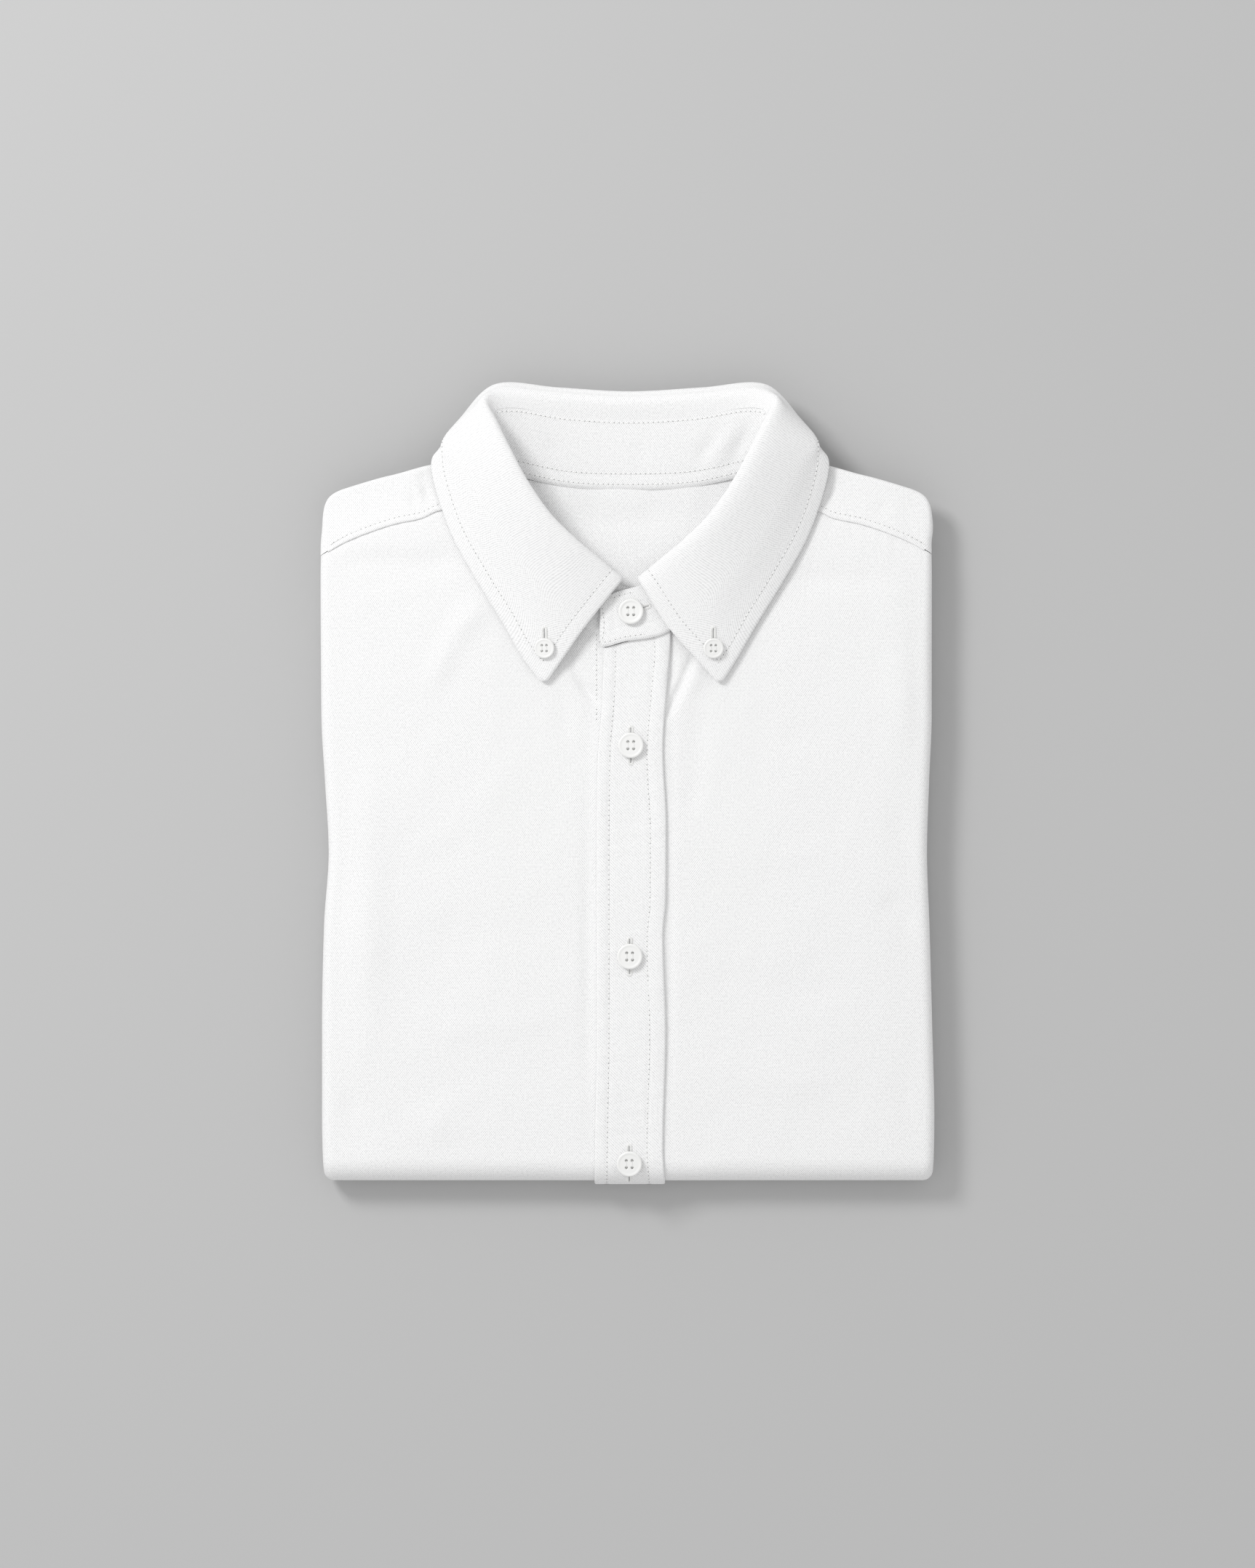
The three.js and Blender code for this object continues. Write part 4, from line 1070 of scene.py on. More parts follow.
@dataclass
class FoldedLayers:
    """Back, sides and sleeves, folded in plies between the fronts."""

    steps_across: int = 28
    rim: int = 8
    span: float = 260.0  # the width that the columns are shared out over
    side_gap: float = 3.2
    shoulder_gap: float = 5.5
    tail_gap: float = 3.0
    under_tail: float = 8.0  # plies up to this height end at the tail
    edge_wave: float = 1.1
    end_wave: float = 0.9
    sag: float = 0.15

    def ply(self, ply: Ply) -> list[Array]:
        """The faces of one ply, drawn together to a rounded rim.

        Args:
            ply: the ply's sizes.

        Returns:
            The grids of its upper and its lower face.
        """
        half = (ply.high - ply.low) / 2
        edge = (1 - np.cos(np.linspace(0, np.pi / 2, self.rim + 1))) * half
        inwards = np.linspace(edge[-1], self.span / 2, self.steps_across)[1:]
        u = np.concatenate([edge, inwards]) / self.span
        shares = np.concatenate([u, 1 - u[::-1][1:]])
        across, along = np.meshgrid(shares, shares, indexing="ij")
        trial_y = lerp(ply.bottom_y, 128.0, along)
        gap = self.side_gap + ply.side
        wave = self.edge_wave * ripple(across * 0, along * 290, 60, ply.seed)
        x = lerp(FORM.left_edge(trial_y) + gap - wave, FORM.right_edge(trial_y) - gap + wave, across)
        end = FORM.shoulder(x) - self.shoulder_gap + ply.top_y
        end = end + self.end_wave * ripple(x, 0 * x, 40, ply.seed + 20)
        end = np.where(ply.high < self.under_tail, TAIL_END - self.tail_gap + ply.top_y, end)
        y = lerp(ply.bottom_y, end, along)
        from_rim = np.min([across, 1 - across, along, 1 - along], axis=0) * self.span
        held = np.clip(from_rim / half, 0, 1)
        thick = half * np.sqrt(np.maximum(1 - (1 - held) ** 2, 0.0025))
        drop = FORM.shoulder_drop(x, y) * fade(ply.low, 6.0, 5.0)
        middle = (ply.high + ply.low) / 2 - drop + self.sag * ripple(x, y, 30, ply.seed + 7)
        return [np.stack([x, y, middle + way * thick], axis=-1) for way in (1, -1)]

    def build(self) -> Object:
        """Makes all plies as one piece.

        Returns:
            The piece, which stands for the folded solid.
        """
        piece = mesh_object("folded_plies", [Wall(*self.ply(ply)) for ply in PLIES])
        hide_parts("folded_layers")
        return piece


# ---- the collar ----
COLLAR_SECTIONS = (  # from the front edge to the back's middle: out from the centre, y, z
    # neck, seam, roll, turn, edge
    ((13, 66.4, 21.3), (4.9, 89.2, 21.9), (3.4, 91.4, 25.2), (18.7, 70, 26), (39.4, 44, 22.3)),
    ((24, 72.6, 21.4), (15.8, 95.6, 24.4), (15.8, 101.6, 29.2), (32, 80, 28), (48.2, 56.7, 21.8)),
    ((34.5, 81.6, 21.5), (25, 103.6, 27.4), (24.5, 108.8, 32), (41, 91, 29.5), (57, 72, 21.7)),
    ((45, 93.6, 21.6), (36.6, 115.6, 30), (36.3, 120.5, 34.6), (54, 107, 30.5), (69.2, 92, 21.6)),
    ((54, 106, 21.6), (47, 130, 31), (46.5, 135.2, 35.8), (65, 125, 31), (80.5, 113, 21.2)),
    ((60.5, 118, 21.4), (54, 143.4, 30.4), (53.7, 148.6, 35.4), (74.6, 143, 29.5), (88.6, 139, 20.6)),
    ((63.5, 130, 20.6), (58, 157, 27.6), (60, 161, 32.4), (81.8, 153.6, 24.4), (86, 148.3, 18.6)),
    ((60, 139.4, 18.2), (61, 166.4, 24.4), (65, 171.5, 27.6), (75.6, 163.4, 16.5), (72, 153, 6)),
    ((50, 137.6, 16.4), (51, 168.3, 21), (57, 174.6, 22.2), (59.6, 177.6, 14.5), (54, 149, 3.8)),
    ((27, 133, 15.3), (29, 164.9, 18.6), (31, 172.4, 19.6), (32, 176, 13.6), (30, 146, 3.4)),
    ((0, 131.9, 15), (0, 163.3, 17.6), (0, 170.8, 18.8), (0, 174.3, 13.2), (0, 145, 3.2)),
)
STAND_UNDER_END = (  # the end under the placket: neck point and seam point
    ((2, 65.6, 19.8), (4, 88, 19.8)), ((14, 69, 19.8), (13, 88.6, 19.8)),
)
STAND_OVER_END = (  # the buttoned end over the placket
    ((-1, 63.8, 22.9), (-3.4, 86.4, 22.9)), ((-8, 61.8, 22.9), (-8.2, 84.4, 22.9)),
    ((-11.4, 61.6, 22.9), (-11.2, 82.8, 22.9)), ((-12.5, 63.6, 22.9), (-12.5, 80.4, 22.9)),
)
NECK, SEAM, ROLL, TURN, EDGE = range(5)
FRONT_LEAN = (-1.6, 0.9)  # how far both leaves' front edges stand to the right, at turn and edge
STAND_CREASES = (
    Crease((57, 164), (51, 153), (45, 141), 3.2, -0.8),
    Crease((41, 160), (35, 150), (30, 142), 3.0, -0.55),
    Crease((49, 163), (43, 152), (38, 142), 3.0, 0.4),
    Crease((-38, 161), (-33, 151), (-28, 143), 3.4, -0.4),
    Crease((-58, 160), (-52, 150), (-47, 141), 3.0, -0.5),
    Crease((8, 160), (5, 150), (7, 139), 3.4, -0.25),
    Crease((-62, 178), (-60, 175), (-57, 171), 1.5, -0.5),
    Crease((60, 176), (58, 173), (54, 170), 1.6, -0.4),
)


@dataclass
class Collar:
    """The collar: a stand that closes over the placket, and the leaf that rolls over it."""

    thickness: float = COLLAR_CLOTH
    leaf_stations: int = 300
    leaf_rows: int = 56
    stand_stations: int = 320
    stand_rows: int = 30
    edge_band: float = COLLAR_STITCH_INSET
    groove: float = 0.12
    groove_reach: float = 0.8
    puff: float = 0.1
    tip_radius: float = 4.2
    rim_round: float = 0.5
    crown: float = 1.8  # how far the roll bulges

    def ring(self) -> Array:
        """Lays the sections round the neck, from the left front edge to the right one.

        Returns:
            Five points for each section: neck, seam, roll, turn and edge.
        """
        sections = np.array(COLLAR_SECTIONS, dtype=float)
        halves = []
        for sign in (-1.0, 1.0):
            half = sections.copy()
            lap = sign * COLLAR_LAP * (1 - ease(np.arange(len(half)) / 2))
            half[:, [NECK, SEAM], 2] += lap[:, None]
            half[:, :, 0] = COLLAR_CENTRE_X + sign * half[:, :, 0]
            half[0, TURN:, 0] += FRONT_LEAN
            halves.append(half)
        return np.concatenate([halves[0], halves[1][-2::-1]])

    def leaf_middle(self) -> Array:
        """Middle surface of the leaf.

        Returns:
            Stations round the neck by rows from the seam to the edge.
        """
        ring = catmull(self.ring(), np.linspace(0, 1, self.leaf_stations + 1))
        seam, roll, turn, edge = (ring[:, index] for index in (SEAM, ROLL, TURN, EDGE))
        length = np.linalg.norm(turn - roll, axis=1, keepdims=True)
        fall = (turn - roll) / length
        over = unit(np.array([0.0, 0.0, 1.0]) - fall * fall[:, 2:])
        narrow = 1 - np.clip((length - 7.0) / 20.0, 0, 1)
        bulge = over * np.minimum(self.crown, 0.21 * length)
        crown = lerp(roll, turn, lerp(0.2, 0.45, narrow)) + bulge
        lines = np.stack([seam, roll, crown, turn, lerp(turn, edge, 0.55), edge])
        across = np.linspace(0, 1, self.leaf_rows + 1) ** 1.05
        return self.blunt(np.swapaxes(catmull(lines, across), 0, 1))

    def blunt(self, middle: Array) -> Array:
        """Rounds the leaf's two points off.

        Args:
            middle: the leaf's middle surface.

        Returns:
            The same surface with its points drawn in.
        """
        along, across = spans(middle, 0), spans(middle, 1)
        from_edge = np.clip(1 - (across[:, -1:] - across) / self.tip_radius, 0, 1)
        inwards = -unit(np.gradient(middle, axis=1))
        forwards = unit(np.gradient(middle, axis=0))
        moved = middle.copy()
        for distance, way in ((along, 1.0), (along[-1:] - along, -1.0)):
            from_front = np.clip(1 - distance / self.tip_radius, 0, 1)
            front_pull = from_front * (1 - np.sqrt(1 - from_edge ** 2 / 2))
            edge_pull = from_edge * (1 - np.sqrt(1 - from_front ** 2 / 2))
            pull = front_pull[..., None] * forwards * way + edge_pull[..., None] * inwards
            moved += self.tip_radius * pull
        return moved

    def stand_middle(self) -> Array:
        """Middle surface of the stand.

        Returns:
            Stations round the neck by rows from the neck seam to the leaf's seam.
        """
        under, over = np.array(STAND_UNDER_END, float), np.array(STAND_OVER_END, float)
        whole = np.concatenate([under[::-1], self.ring()[:, [NECK, SEAM]], over])
        line = catmull(whole, np.linspace(0, 1, self.stand_stations + 1))
        share = np.linspace(0, 1, self.stand_rows + 1)[None, :, None]
        middle = lerp(line[:, None, 0], line[:, None, 1], share)
        rise = sum(crease.rise(middle[..., 0], middle[..., 1]) for crease in STAND_CREASES)
        fixed = ease(share[..., 0] / 0.12) * ease((1 - share[..., 0]) / 0.1)
        middle[..., 2] += rise * fixed
        return middle

    def half_thickness(self, middle: Array, rims: Sequence[str]) -> tuple[Array, Array]:
        """Half the wall at each point, rounded towards the named rims, and the distance from them.

        Args:
            middle: the middle surface's grid.
            rims: which sides of the grid are finished edges: start, end, low, high.

        Returns:
            Half thickness and distance from the nearest finished edge.
        """
        along, across = spans(middle, 0), spans(middle, 1)
        distances = {
            "start": along, "end": along[-1:] - along, "low": across, "high": across[:, -1:] - across,
        }
        nearest = np.min([distances[rim] for rim in rims], axis=0)
        held = np.clip(nearest / (self.thickness * self.rim_round), 0, 1)
        half = self.thickness / 2 * np.sqrt(np.maximum(1 - (1 - held) ** 2, 0.01))
        return half, nearest

    def wall(self, middle: Array, rims: Sequence[str]) -> Wall:
        """The closed wall about a middle surface, with an edge band and its stitch groove.

        Args:
            middle: the middle surface's grid.
            rims: which sides of the grid are finished edges.

        Returns:
            The wall with its cloth coordinates.
        """
        half, nearest = self.half_thickness(middle, rims)
        puff = self.puff * np.sin(np.pi * np.clip(nearest / self.edge_band, 0, 1))
        puff = puff - self.groove * bell(nearest - self.edge_band, self.groove_reach)
        reach = grid_normals(middle) * (half + puff)[..., None]
        along = spans(middle, 0)
        flat = np.stack([along - along[len(along) // 2], spans(middle, 1)], axis=-1)
        return Wall(middle + reach, middle - reach, flat)

    def walls(self) -> tuple[Wall, Wall]:
        """The leaf's wall and the stand's."""
        leaf = self.wall(self.leaf_middle(), ("start", "end", "high"))
        return leaf, self.wall(self.stand_middle(), ("start", "end", "low"))

    def build(self, leaf: Wall, stand: Wall) -> list[Object]:
        """Makes the leaf and the stand as closed shells.

        Args:
            leaf: the leaf's wall.
            stand: the stand's wall.

        Returns:
            The two pieces, which stand for their solids.
        """
        pieces: list[Object] = []
        for name, wall in (("collar_leaf", leaf), ("collar_stand", stand)):
            pieces.append(mesh_object(f"{name}_cloth", [wall]))
            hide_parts(name)
        return pieces


# ---- node trees ----
def add_node(
    tree: NodeTree, kind: str, inputs: dict[str | int, object] | None = None, **settings: object
) -> bpy.types.bpy_prop_collection:
    """Adds a node to a tree.

    Args:
        tree: the tree that it joins.
        kind: the node's type.
        inputs: a value or another node's output for each input that isn't left as it is.
        settings: the node's properties.

    Returns:
        The node's outputs.
    """
    node = tree.nodes.new(kind)
    for name, value in settings.items():
        setattr(node, name, value)
    for key, value in (inputs or {}).items():
        if isinstance(value, NodeSocket):
            tree.links.new(value, node.inputs[key])
        else:
            node.inputs[key].default_value = value
    return node.outputs


# ---- finishes ----
def new_material(name: str, inputs: dict[str, object]) -> tuple[Material, Node]:
    """Makes a material from its main shader's values.

    Args:
        name: the material's name.
        inputs: a value for each input of the shader that isn't left as it is.

    Returns:
        The material and its main shader.
    """
    material = bpy.data.materials.new(name)
    material.use_nodes = True
    shader = material.node_tree.nodes["Principled BSDF"]
    for key, value in inputs.items():
        shader.inputs[key].default_value = value
    return material, shader


@dataclass(frozen=True)
class ClothFinish:
    """Matt cotton oxford: a fine basket weave that follows the cloth's own UV map, in metres."""

    name: str
    colour: tuple[float, float, float]
    shade: tuple[float, float, float]  # painted shade: the colour that the weave's dips between the yarns darken to
    warp_pitch: float = 1.02  # millimetres
    weft_pitch: float = 1.25
    depth: float = 0.07  # millimetres of relief
    waver: float = 0.5  # how far the yarns wander, in millimetres
    waver_scale: float = 24.0
    slub: float = 0.9  # share of the yarns' unevenness in the relief
    slub_scale: float = 900.0
    basket: float = 0.5  # share of the weave in the relief
    shade_range: tuple[float, float] = (0.05, 0.45)
    roughness: float = 0.92
    sheen: float = 0.12
    sheen_roughness: float = 0.6
    specular: float = 0.2

    def make(self) -> Material:
        """Builds the finish.

        Returns:
            The finish as a material.
        """
        material, shader = new_material(self.name, {
            "Roughness": self.roughness, "Sheen Weight": self.sheen,
            "Sheen Roughness": self.sheen_roughness, "Specular IOR Level": self.specular,
        })
        tree = material.node_tree
        uv = add_node(tree, "ShaderNodeUVMap", uv_map=CLOTH_MAP)[0]
        noise = {"Vector": uv, "Scale": self.waver_scale, "Detail": 1.0}
        drift = add_node(tree, "ShaderNodeTexNoise", noise)["Color"]
        drawn = {0: drift, 1: (self.waver * MM,) * 3, 2: uv}
        pulled = add_node(tree, "ShaderNodeVectorMath", drawn, operation="MULTIPLY_ADD")[0]
        axes = add_node(tree, "ShaderNodeSeparateXYZ", {0: pulled})
        warp = self.wave(tree, axes["X"], self.warp_pitch)
        weft = self.wave(tree, axes["Y"], self.weft_pitch)
        basket = self.number(tree, "MULTIPLY", warp, weft)
        noise = {"Vector": uv, "Scale": self.slub_scale, "Detail": 2.0}
        slub = add_node(tree, "ShaderNodeTexNoise", noise)["Fac"]
        height = self.number(
            tree, "ADD", self.number(tree, "MULTIPLY", basket, self.basket),
            self.number(tree, "MULTIPLY", slub, self.slub),
        )
        # The ramp paints shade into the colour: low parts of the relief, between the yarns and in thin slubs,
        # go darker towards the shade colour.
        ramp = tree.nodes.new("ShaderNodeValToRGB")
        for stop, place, colour in zip(ramp.color_ramp.elements, self.shade_range, (self.shade, self.colour)):
            stop.position = place
            stop.color = (*colour, 1.0)
        tree.links.new(height, ramp.inputs["Fac"])
        tree.links.new(ramp.outputs["Color"], shader.inputs["Base Color"])
        relief = {"Strength": 1.0, "Distance": self.depth * MM, "Height": height}
        bump = add_node(tree, "ShaderNodeBump", relief)["Normal"]
        tree.links.new(bump, shader.inputs["Normal"])
        return material

    @staticmethod
    def number(
        tree: NodeTree, operation: str, first: object, second: object
    ) -> NodeSocket:
        """A maths node.

        Args:
            tree: the tree that it joins.
            operation: what it does.
            first: its first input, a socket or a number.
            second: its second input.

        Returns:
            The node's output.
        """
        return add_node(tree, "ShaderNodeMath", {0: first, 1: second}, operation=operation)[0]

    def wave(
        self, tree: NodeTree, place: NodeSocket, pitch: float
    ) -> NodeSocket:
        """A sine along one direction of the cloth.

        Args:
            tree: the tree that it joins.
            place: the distance along that direction, in metres.
            pitch: the wave's length in millimetres.

        Returns:
            The sine's value.
        """
        turned = self.number(tree, "MULTIPLY", place, 2 * math.pi / (pitch * MM))
        return add_node(tree, "ShaderNodeMath", {0: turned}, operation="SINE")[0]


@dataclass(frozen=True)
class PlainFinish:
    """An even finish without a pattern."""

    name: str
    colour: tuple[float, float, float]
    roughness: float
    coat: float = 0.0
    coat_roughness: float = 0.12
    specular: float = 0.5

    def make(self) -> Material:
        """The finish as a material."""
        return new_material(self.name, {
            "Base Color": (*self.colour, 1.0), "Roughness": self.roughness, "Coat Weight": self.coat,
            "Coat Roughness": self.coat_roughness, "Specular IOR Level": self.specular,
        })[0]


# The second colour of each cloth is the painted shade in the weave's dips.
OXFORD = ClothFinish("white_oxford", (0.9, 0.9, 0.9), (0.66, 0.66, 0.665))
# The same white oxford, made darker for the plies inside the pack: painted shade.
FOLDED_OXFORD_SHADED = ClothFinish("folded_oxford_shaded", (0.84, 0.84, 0.835), (0.68, 0.68, 0.68))
THREAD = PlainFinish("white_thread", (0.88, 0.88, 0.87), 0.7, specular=0.25)
# Dark grey beads at the needle holes: painted shade standing in for the holes' shadow.
NEEDLE_HOLE_SHADE = PlainFinish("needle_hole", (0.3, 0.3, 0.3), 0.95, specular=0.0)
# Grey for the buttonhole slits: painted shade inside the cut.
SLIT_SHADE = PlainFinish("buttonhole_slit", (0.36, 0.36, 0.36), 0.95, specular=0.0)
BUTTON = PlainFinish("pearl_button", (0.84, 0.84, 0.83), 0.3, coat=0.25)


# ---- stitches ----
@dataclass(frozen=True)
class StitchLine:
    """A line on a surface, in millimetres, with the direction out of the surface at each point."""

    points: Array
    ups: Array

    @staticmethod
    def on_grid(face: tuple[Array, Array], rows: Array, columns: Array) -> "StitchLine":
        """A line just off a surface grid.

        Args:
            face: the grid and its outward directions.
            rows: fractional places along the first axis.
            columns: fractional places along the second axis.

        Returns:
            The line through those places.
        """
        points, ups = (sample_grid(grid, rows, columns) for grid in face)
        ups = unit(ups)
        return StitchLine(points + ups * STITCH_LIFT, ups)


def sample_grid(grid: Array, rows: Array, columns: Array) -> Array:
    """Reads a grid between its points.

    Args:
        grid: the grid.
        rows: fractional places along the first axis.
        columns: fractional places along the second axis.

    Returns:
        The grid's value at each place.
    """
    row = np.clip(rows, 0, grid.shape[0] - 1.001)
    column = np.clip(columns, 0, grid.shape[1] - 1.001)
    low_row, low_column = row.astype(int), column.astype(int)
    r, c = (row - low_row)[:, None], (column - low_column)[:, None]
    return (
        grid[low_row, low_column] * (1 - r) * (1 - c) + grid[low_row + 1, low_column] * r * (1 - c)
        + grid[low_row, low_column + 1] * (1 - r) * c + grid[low_row + 1, low_column + 1] * r * c
    )


def crossing(distance: Array, level: float) -> Array:
    """Finds where a distance that rises along the last axis first reaches a level.

    Args:
        distance: the distances.
        level: the level.

    Returns:
        The fractional index along the last axis.
    """
    above = distance >= level
    index = np.clip(np.argmax(above, axis=-1), 1, distance.shape[-1] - 1)
    low = np.take_along_axis(distance, (index - 1)[..., None], -1)[..., 0]
    high = np.take_along_axis(distance, index[..., None], -1)[..., 0]
    return index - 1 + (level - low) / np.maximum(high - low, TINY)


def crossing_back(distance: Array, level: float) -> Array:
    """The same, measured back from the last point of each row."""
    left = (distance[:, -1:] - distance)[:, ::-1]
    return distance.shape[1] - 1 - crossing(left, level)


class StitchTree:
    """The node tree that lays stitches, or the dark beads of painted shade between them, along lines."""

    SIZES = ("Pitch", "Length", "Width", "Height", "Shift", "Turn")
    LEAST = (0.86, 0.9, 0.85)  # how the stitches vary in length, width and height
    MOST = (1.08, 1.1, 1.15)

    def __init__(self, name: str, sides: int = 8, rings: int = 4) -> None:
        """Builds the tree with named inputs for its sizes.

        Args:
            name: the tree's name.
            sides: faces round one stitch.
            rings: faces along half of it.
        """
        tree = bpy.data.node_groups.new(name, "GeometryNodeTree")
        self.tree = tree
        kinds = {"Lines": "Geometry", **dict.fromkeys(self.SIZES, "Float")}
        kinds.update(Seed="Int", Finish="Material")
        for title, kind in kinds.items():
            tree.interface.new_socket(title, in_out="INPUT", socket_type=f"NodeSocket{kind}")
        tree.interface.new_socket("Stitches", in_out="OUTPUT", socket_type="NodeSocketGeometry")
        given = add_node(tree, "NodeGroupInput")
        curve = add_node(tree, "GeometryNodeMeshToCurve", {"Mesh": given["Lines"]})[0]
        spacing = {"Curve": curve, "Length": given["Pitch"]}
        spaced = add_node(tree, "GeometryNodeResampleCurve", spacing, mode="LENGTH")[0]
        ball = {"Segments": sides, "Rings": rings, "Radius": 0.5}
        size = dict(zip("XYZ", (given["Length"], given["Width"], given["Height"])))
        shaped = add_node(tree, "GeometryNodeTransform", {
            "Geometry": add_node(tree, "GeometryNodeMeshUVSphere", ball)[0],
            "Scale": add_node(tree, "ShaderNodeCombineXYZ", size)[0],
            "Translation": add_node(tree, "ShaderNodeCombineXYZ", {"X": given["Shift"]})[0],
        })[0]
        varied = {0: self.LEAST, 1: self.MOST, "Seed": given["Seed"]}
        laid = add_node(tree, "GeometryNodeInstanceOnPoints", {
            "Points": spaced, "Instance": shaped, "Rotation": self.facing(given["Turn"]),
            "Scale": add_node(tree, "FunctionNodeRandomValue", varied, data_type="FLOAT_VECTOR")[0],
        })[0]
        real = add_node(tree, "GeometryNodeRealizeInstances", {0: laid})[0]
        smooth = add_node(tree, "GeometryNodeSetShadeSmooth", {0: real})[0]
        dressed = {"Geometry": smooth, "Material": given["Finish"]}
        finished = add_node(tree, "GeometryNodeSetMaterial", dressed)[0]
        add_node(tree, "NodeGroupOutput", {"Stitches": finished})

    def facing(self, turn: NodeSocket) -> NodeSocket:
        """Turns each stitch along its line and upright on the cloth.

        Args:
            turn: a further turn about the direction out of the cloth.

        Returns:
            The rotation of each stitch.
        """
        tangent = add_node(self.tree, "GeometryNodeInputTangent")[0]
        along = add_node(self.tree, "FunctionNodeAlignRotationToVector", {"Vector": tangent}, axis="X")[0]
        named = {"Name": "up"}
        up = add_node(self.tree, "GeometryNodeInputNamedAttribute", named, data_type="FLOAT_VECTOR")[0]
        aimed = {"Rotation": along, "Vector": up}
        upright = add_node(
            self.tree, "FunctionNodeAlignRotationToVector", aimed, axis="Z", pivot_axis="X",
        )[0]
        about = {"Axis": (0, 0, 1), "Angle": turn}
        turned = add_node(self.tree, "FunctionNodeAxisAngleToRotation", about)[0]
        both = {"Rotation": upright, "Rotate By": turned}
        return add_node(self.tree, "FunctionNodeRotateRotation", both, rotation_space="LOCAL")[0]

    def identifier(self, name: str) -> str:
        """Finds an input's identifier.

        Args:
            name: the input's name.

        Returns:
            Its identifier on a modifier.
        """
        for item in self.tree.interface.items_tree:
            if item.item_type == "SOCKET" and item.in_out == "INPUT" and item.name == name:
                return item.identifier
        raise KeyError(name)


@dataclass(frozen=True)
class StitchKind:
    """Sizes of one kind of stitch, in millimetres, and its turn about the surface, in radians."""

    pitch: float
    length: float
    width: float
    height: float
    shift: float = 0.0
    turn: float = 0.0
    seed: int = 3


RUNNING = StitchKind(STITCH_PITCH, 1.72, 0.36, 0.3)
# Flat dark beads between the stitches: the needle holes' painted shade.
NEEDLE = StitchKind(STITCH_PITCH, 0.46, 0.44, 0.16, shift=STITCH_PITCH / 2)
SATIN = StitchKind(0.36, 1.4, 0.36, 0.62, turn=math.pi / 2)
# Flat dark beads along each buttonhole's slit: the cut's painted shade.
SLIT_SHADE_BEADS = StitchKind(0.5, 0.7, 0.34, 0.12)


class Sewing:
    """Gathers stitch lines and turns them into plain meshes."""

    def __init__(self) -> None:
        """Makes the tree that all the sewing shares."""
        self.tree = StitchTree("laid_stitches")

    def lines_mesh(self, name: str, lines: Sequence[StitchLine]) -> Mesh:
        """A mesh of edges with an up direction at each point.

        Args:
            name: the mesh's name.
            lines: the lines that it holds.

        Returns:
            The mesh.
        """
        mesh = bpy.data.meshes.new(name)
        edges: list[tuple[int, int]] = []
        count = 0
        for line in lines:
            edges += [(count + index, count + index + 1) for index in range(len(line.points) - 1)]
            count += len(line.points)
        mesh.from_pydata((np.concatenate([line.points for line in lines]) * MM).tolist(), edges, [])
        up = mesh.attributes.new("up", "FLOAT_VECTOR", "POINT")
        ups = np.concatenate([line.ups for line in lines])
        up.data.foreach_set("vector", ups.astype(np.float32).ravel())
        return mesh

    def lay(
        self, name: str, lines: Sequence[StitchLine], kind: StitchKind, finish: Material
    ) -> Object:
        """Lays one kind of stitch along lines.

        Args:
            name: the piece's name.
            lines: where the stitches go.
            kind: their sizes.
            finish: their material.

        Returns:
            The stitches as one plain mesh object.
        """
        piece = linked(bpy.data.objects.new(name, self.lines_mesh(name, lines)))
        modifier = piece.modifiers.new("stitches", "NODES")
        modifier.node_group = self.tree.tree
        sizes = (kind.pitch, kind.length, kind.width, kind.height, kind.shift)
        for title, size in zip(StitchTree.SIZES, sizes):
            modifier[self.tree.identifier(title)] = size * MM
        modifier[self.tree.identifier("Turn")] = kind.turn
        modifier[self.tree.identifier("Seed")] = kind.seed
        modifier[self.tree.identifier("Finish")] = finish
        graph = bpy.context.evaluated_depsgraph_get()
        made = bpy.data.meshes.new_from_object(piece.evaluated_get(graph))
        piece.modifiers.remove(modifier)
        piece.data = made
        made.name = name
        return piece


# ---- buttons and buttonholes ----
@dataclass(frozen=True)
class Seat:
    """Where a button lies: the point under its middle, the direction out of the cloth and its turn."""

    point: Array
    up: Array
    turn: float = 0.0

    def axes(self) -> Array:
        """Works out the button's own directions.

        Returns:
            Right, forward and up as rows.
        """
        up = unit(self.up)
        right = unit(np.cross(np.array([0.0, 1.0, 0.0]), up))
        forward = np.cross(up, right)
        c, s = math.cos(self.turn), math.sin(self.turn)
        return np.stack([right * c + forward * s, forward * c - right * s, up])

    def place(self, local: Array) -> Array:
        """Points in the shirt's frame from points in the button's own."""
        return self.point + local @ self.axes()

    def raised(self, lift: float) -> "Seat":
        """The same seat further out of the cloth."""
        return Seat(self.point + self.up * lift, self.up, self.turn)


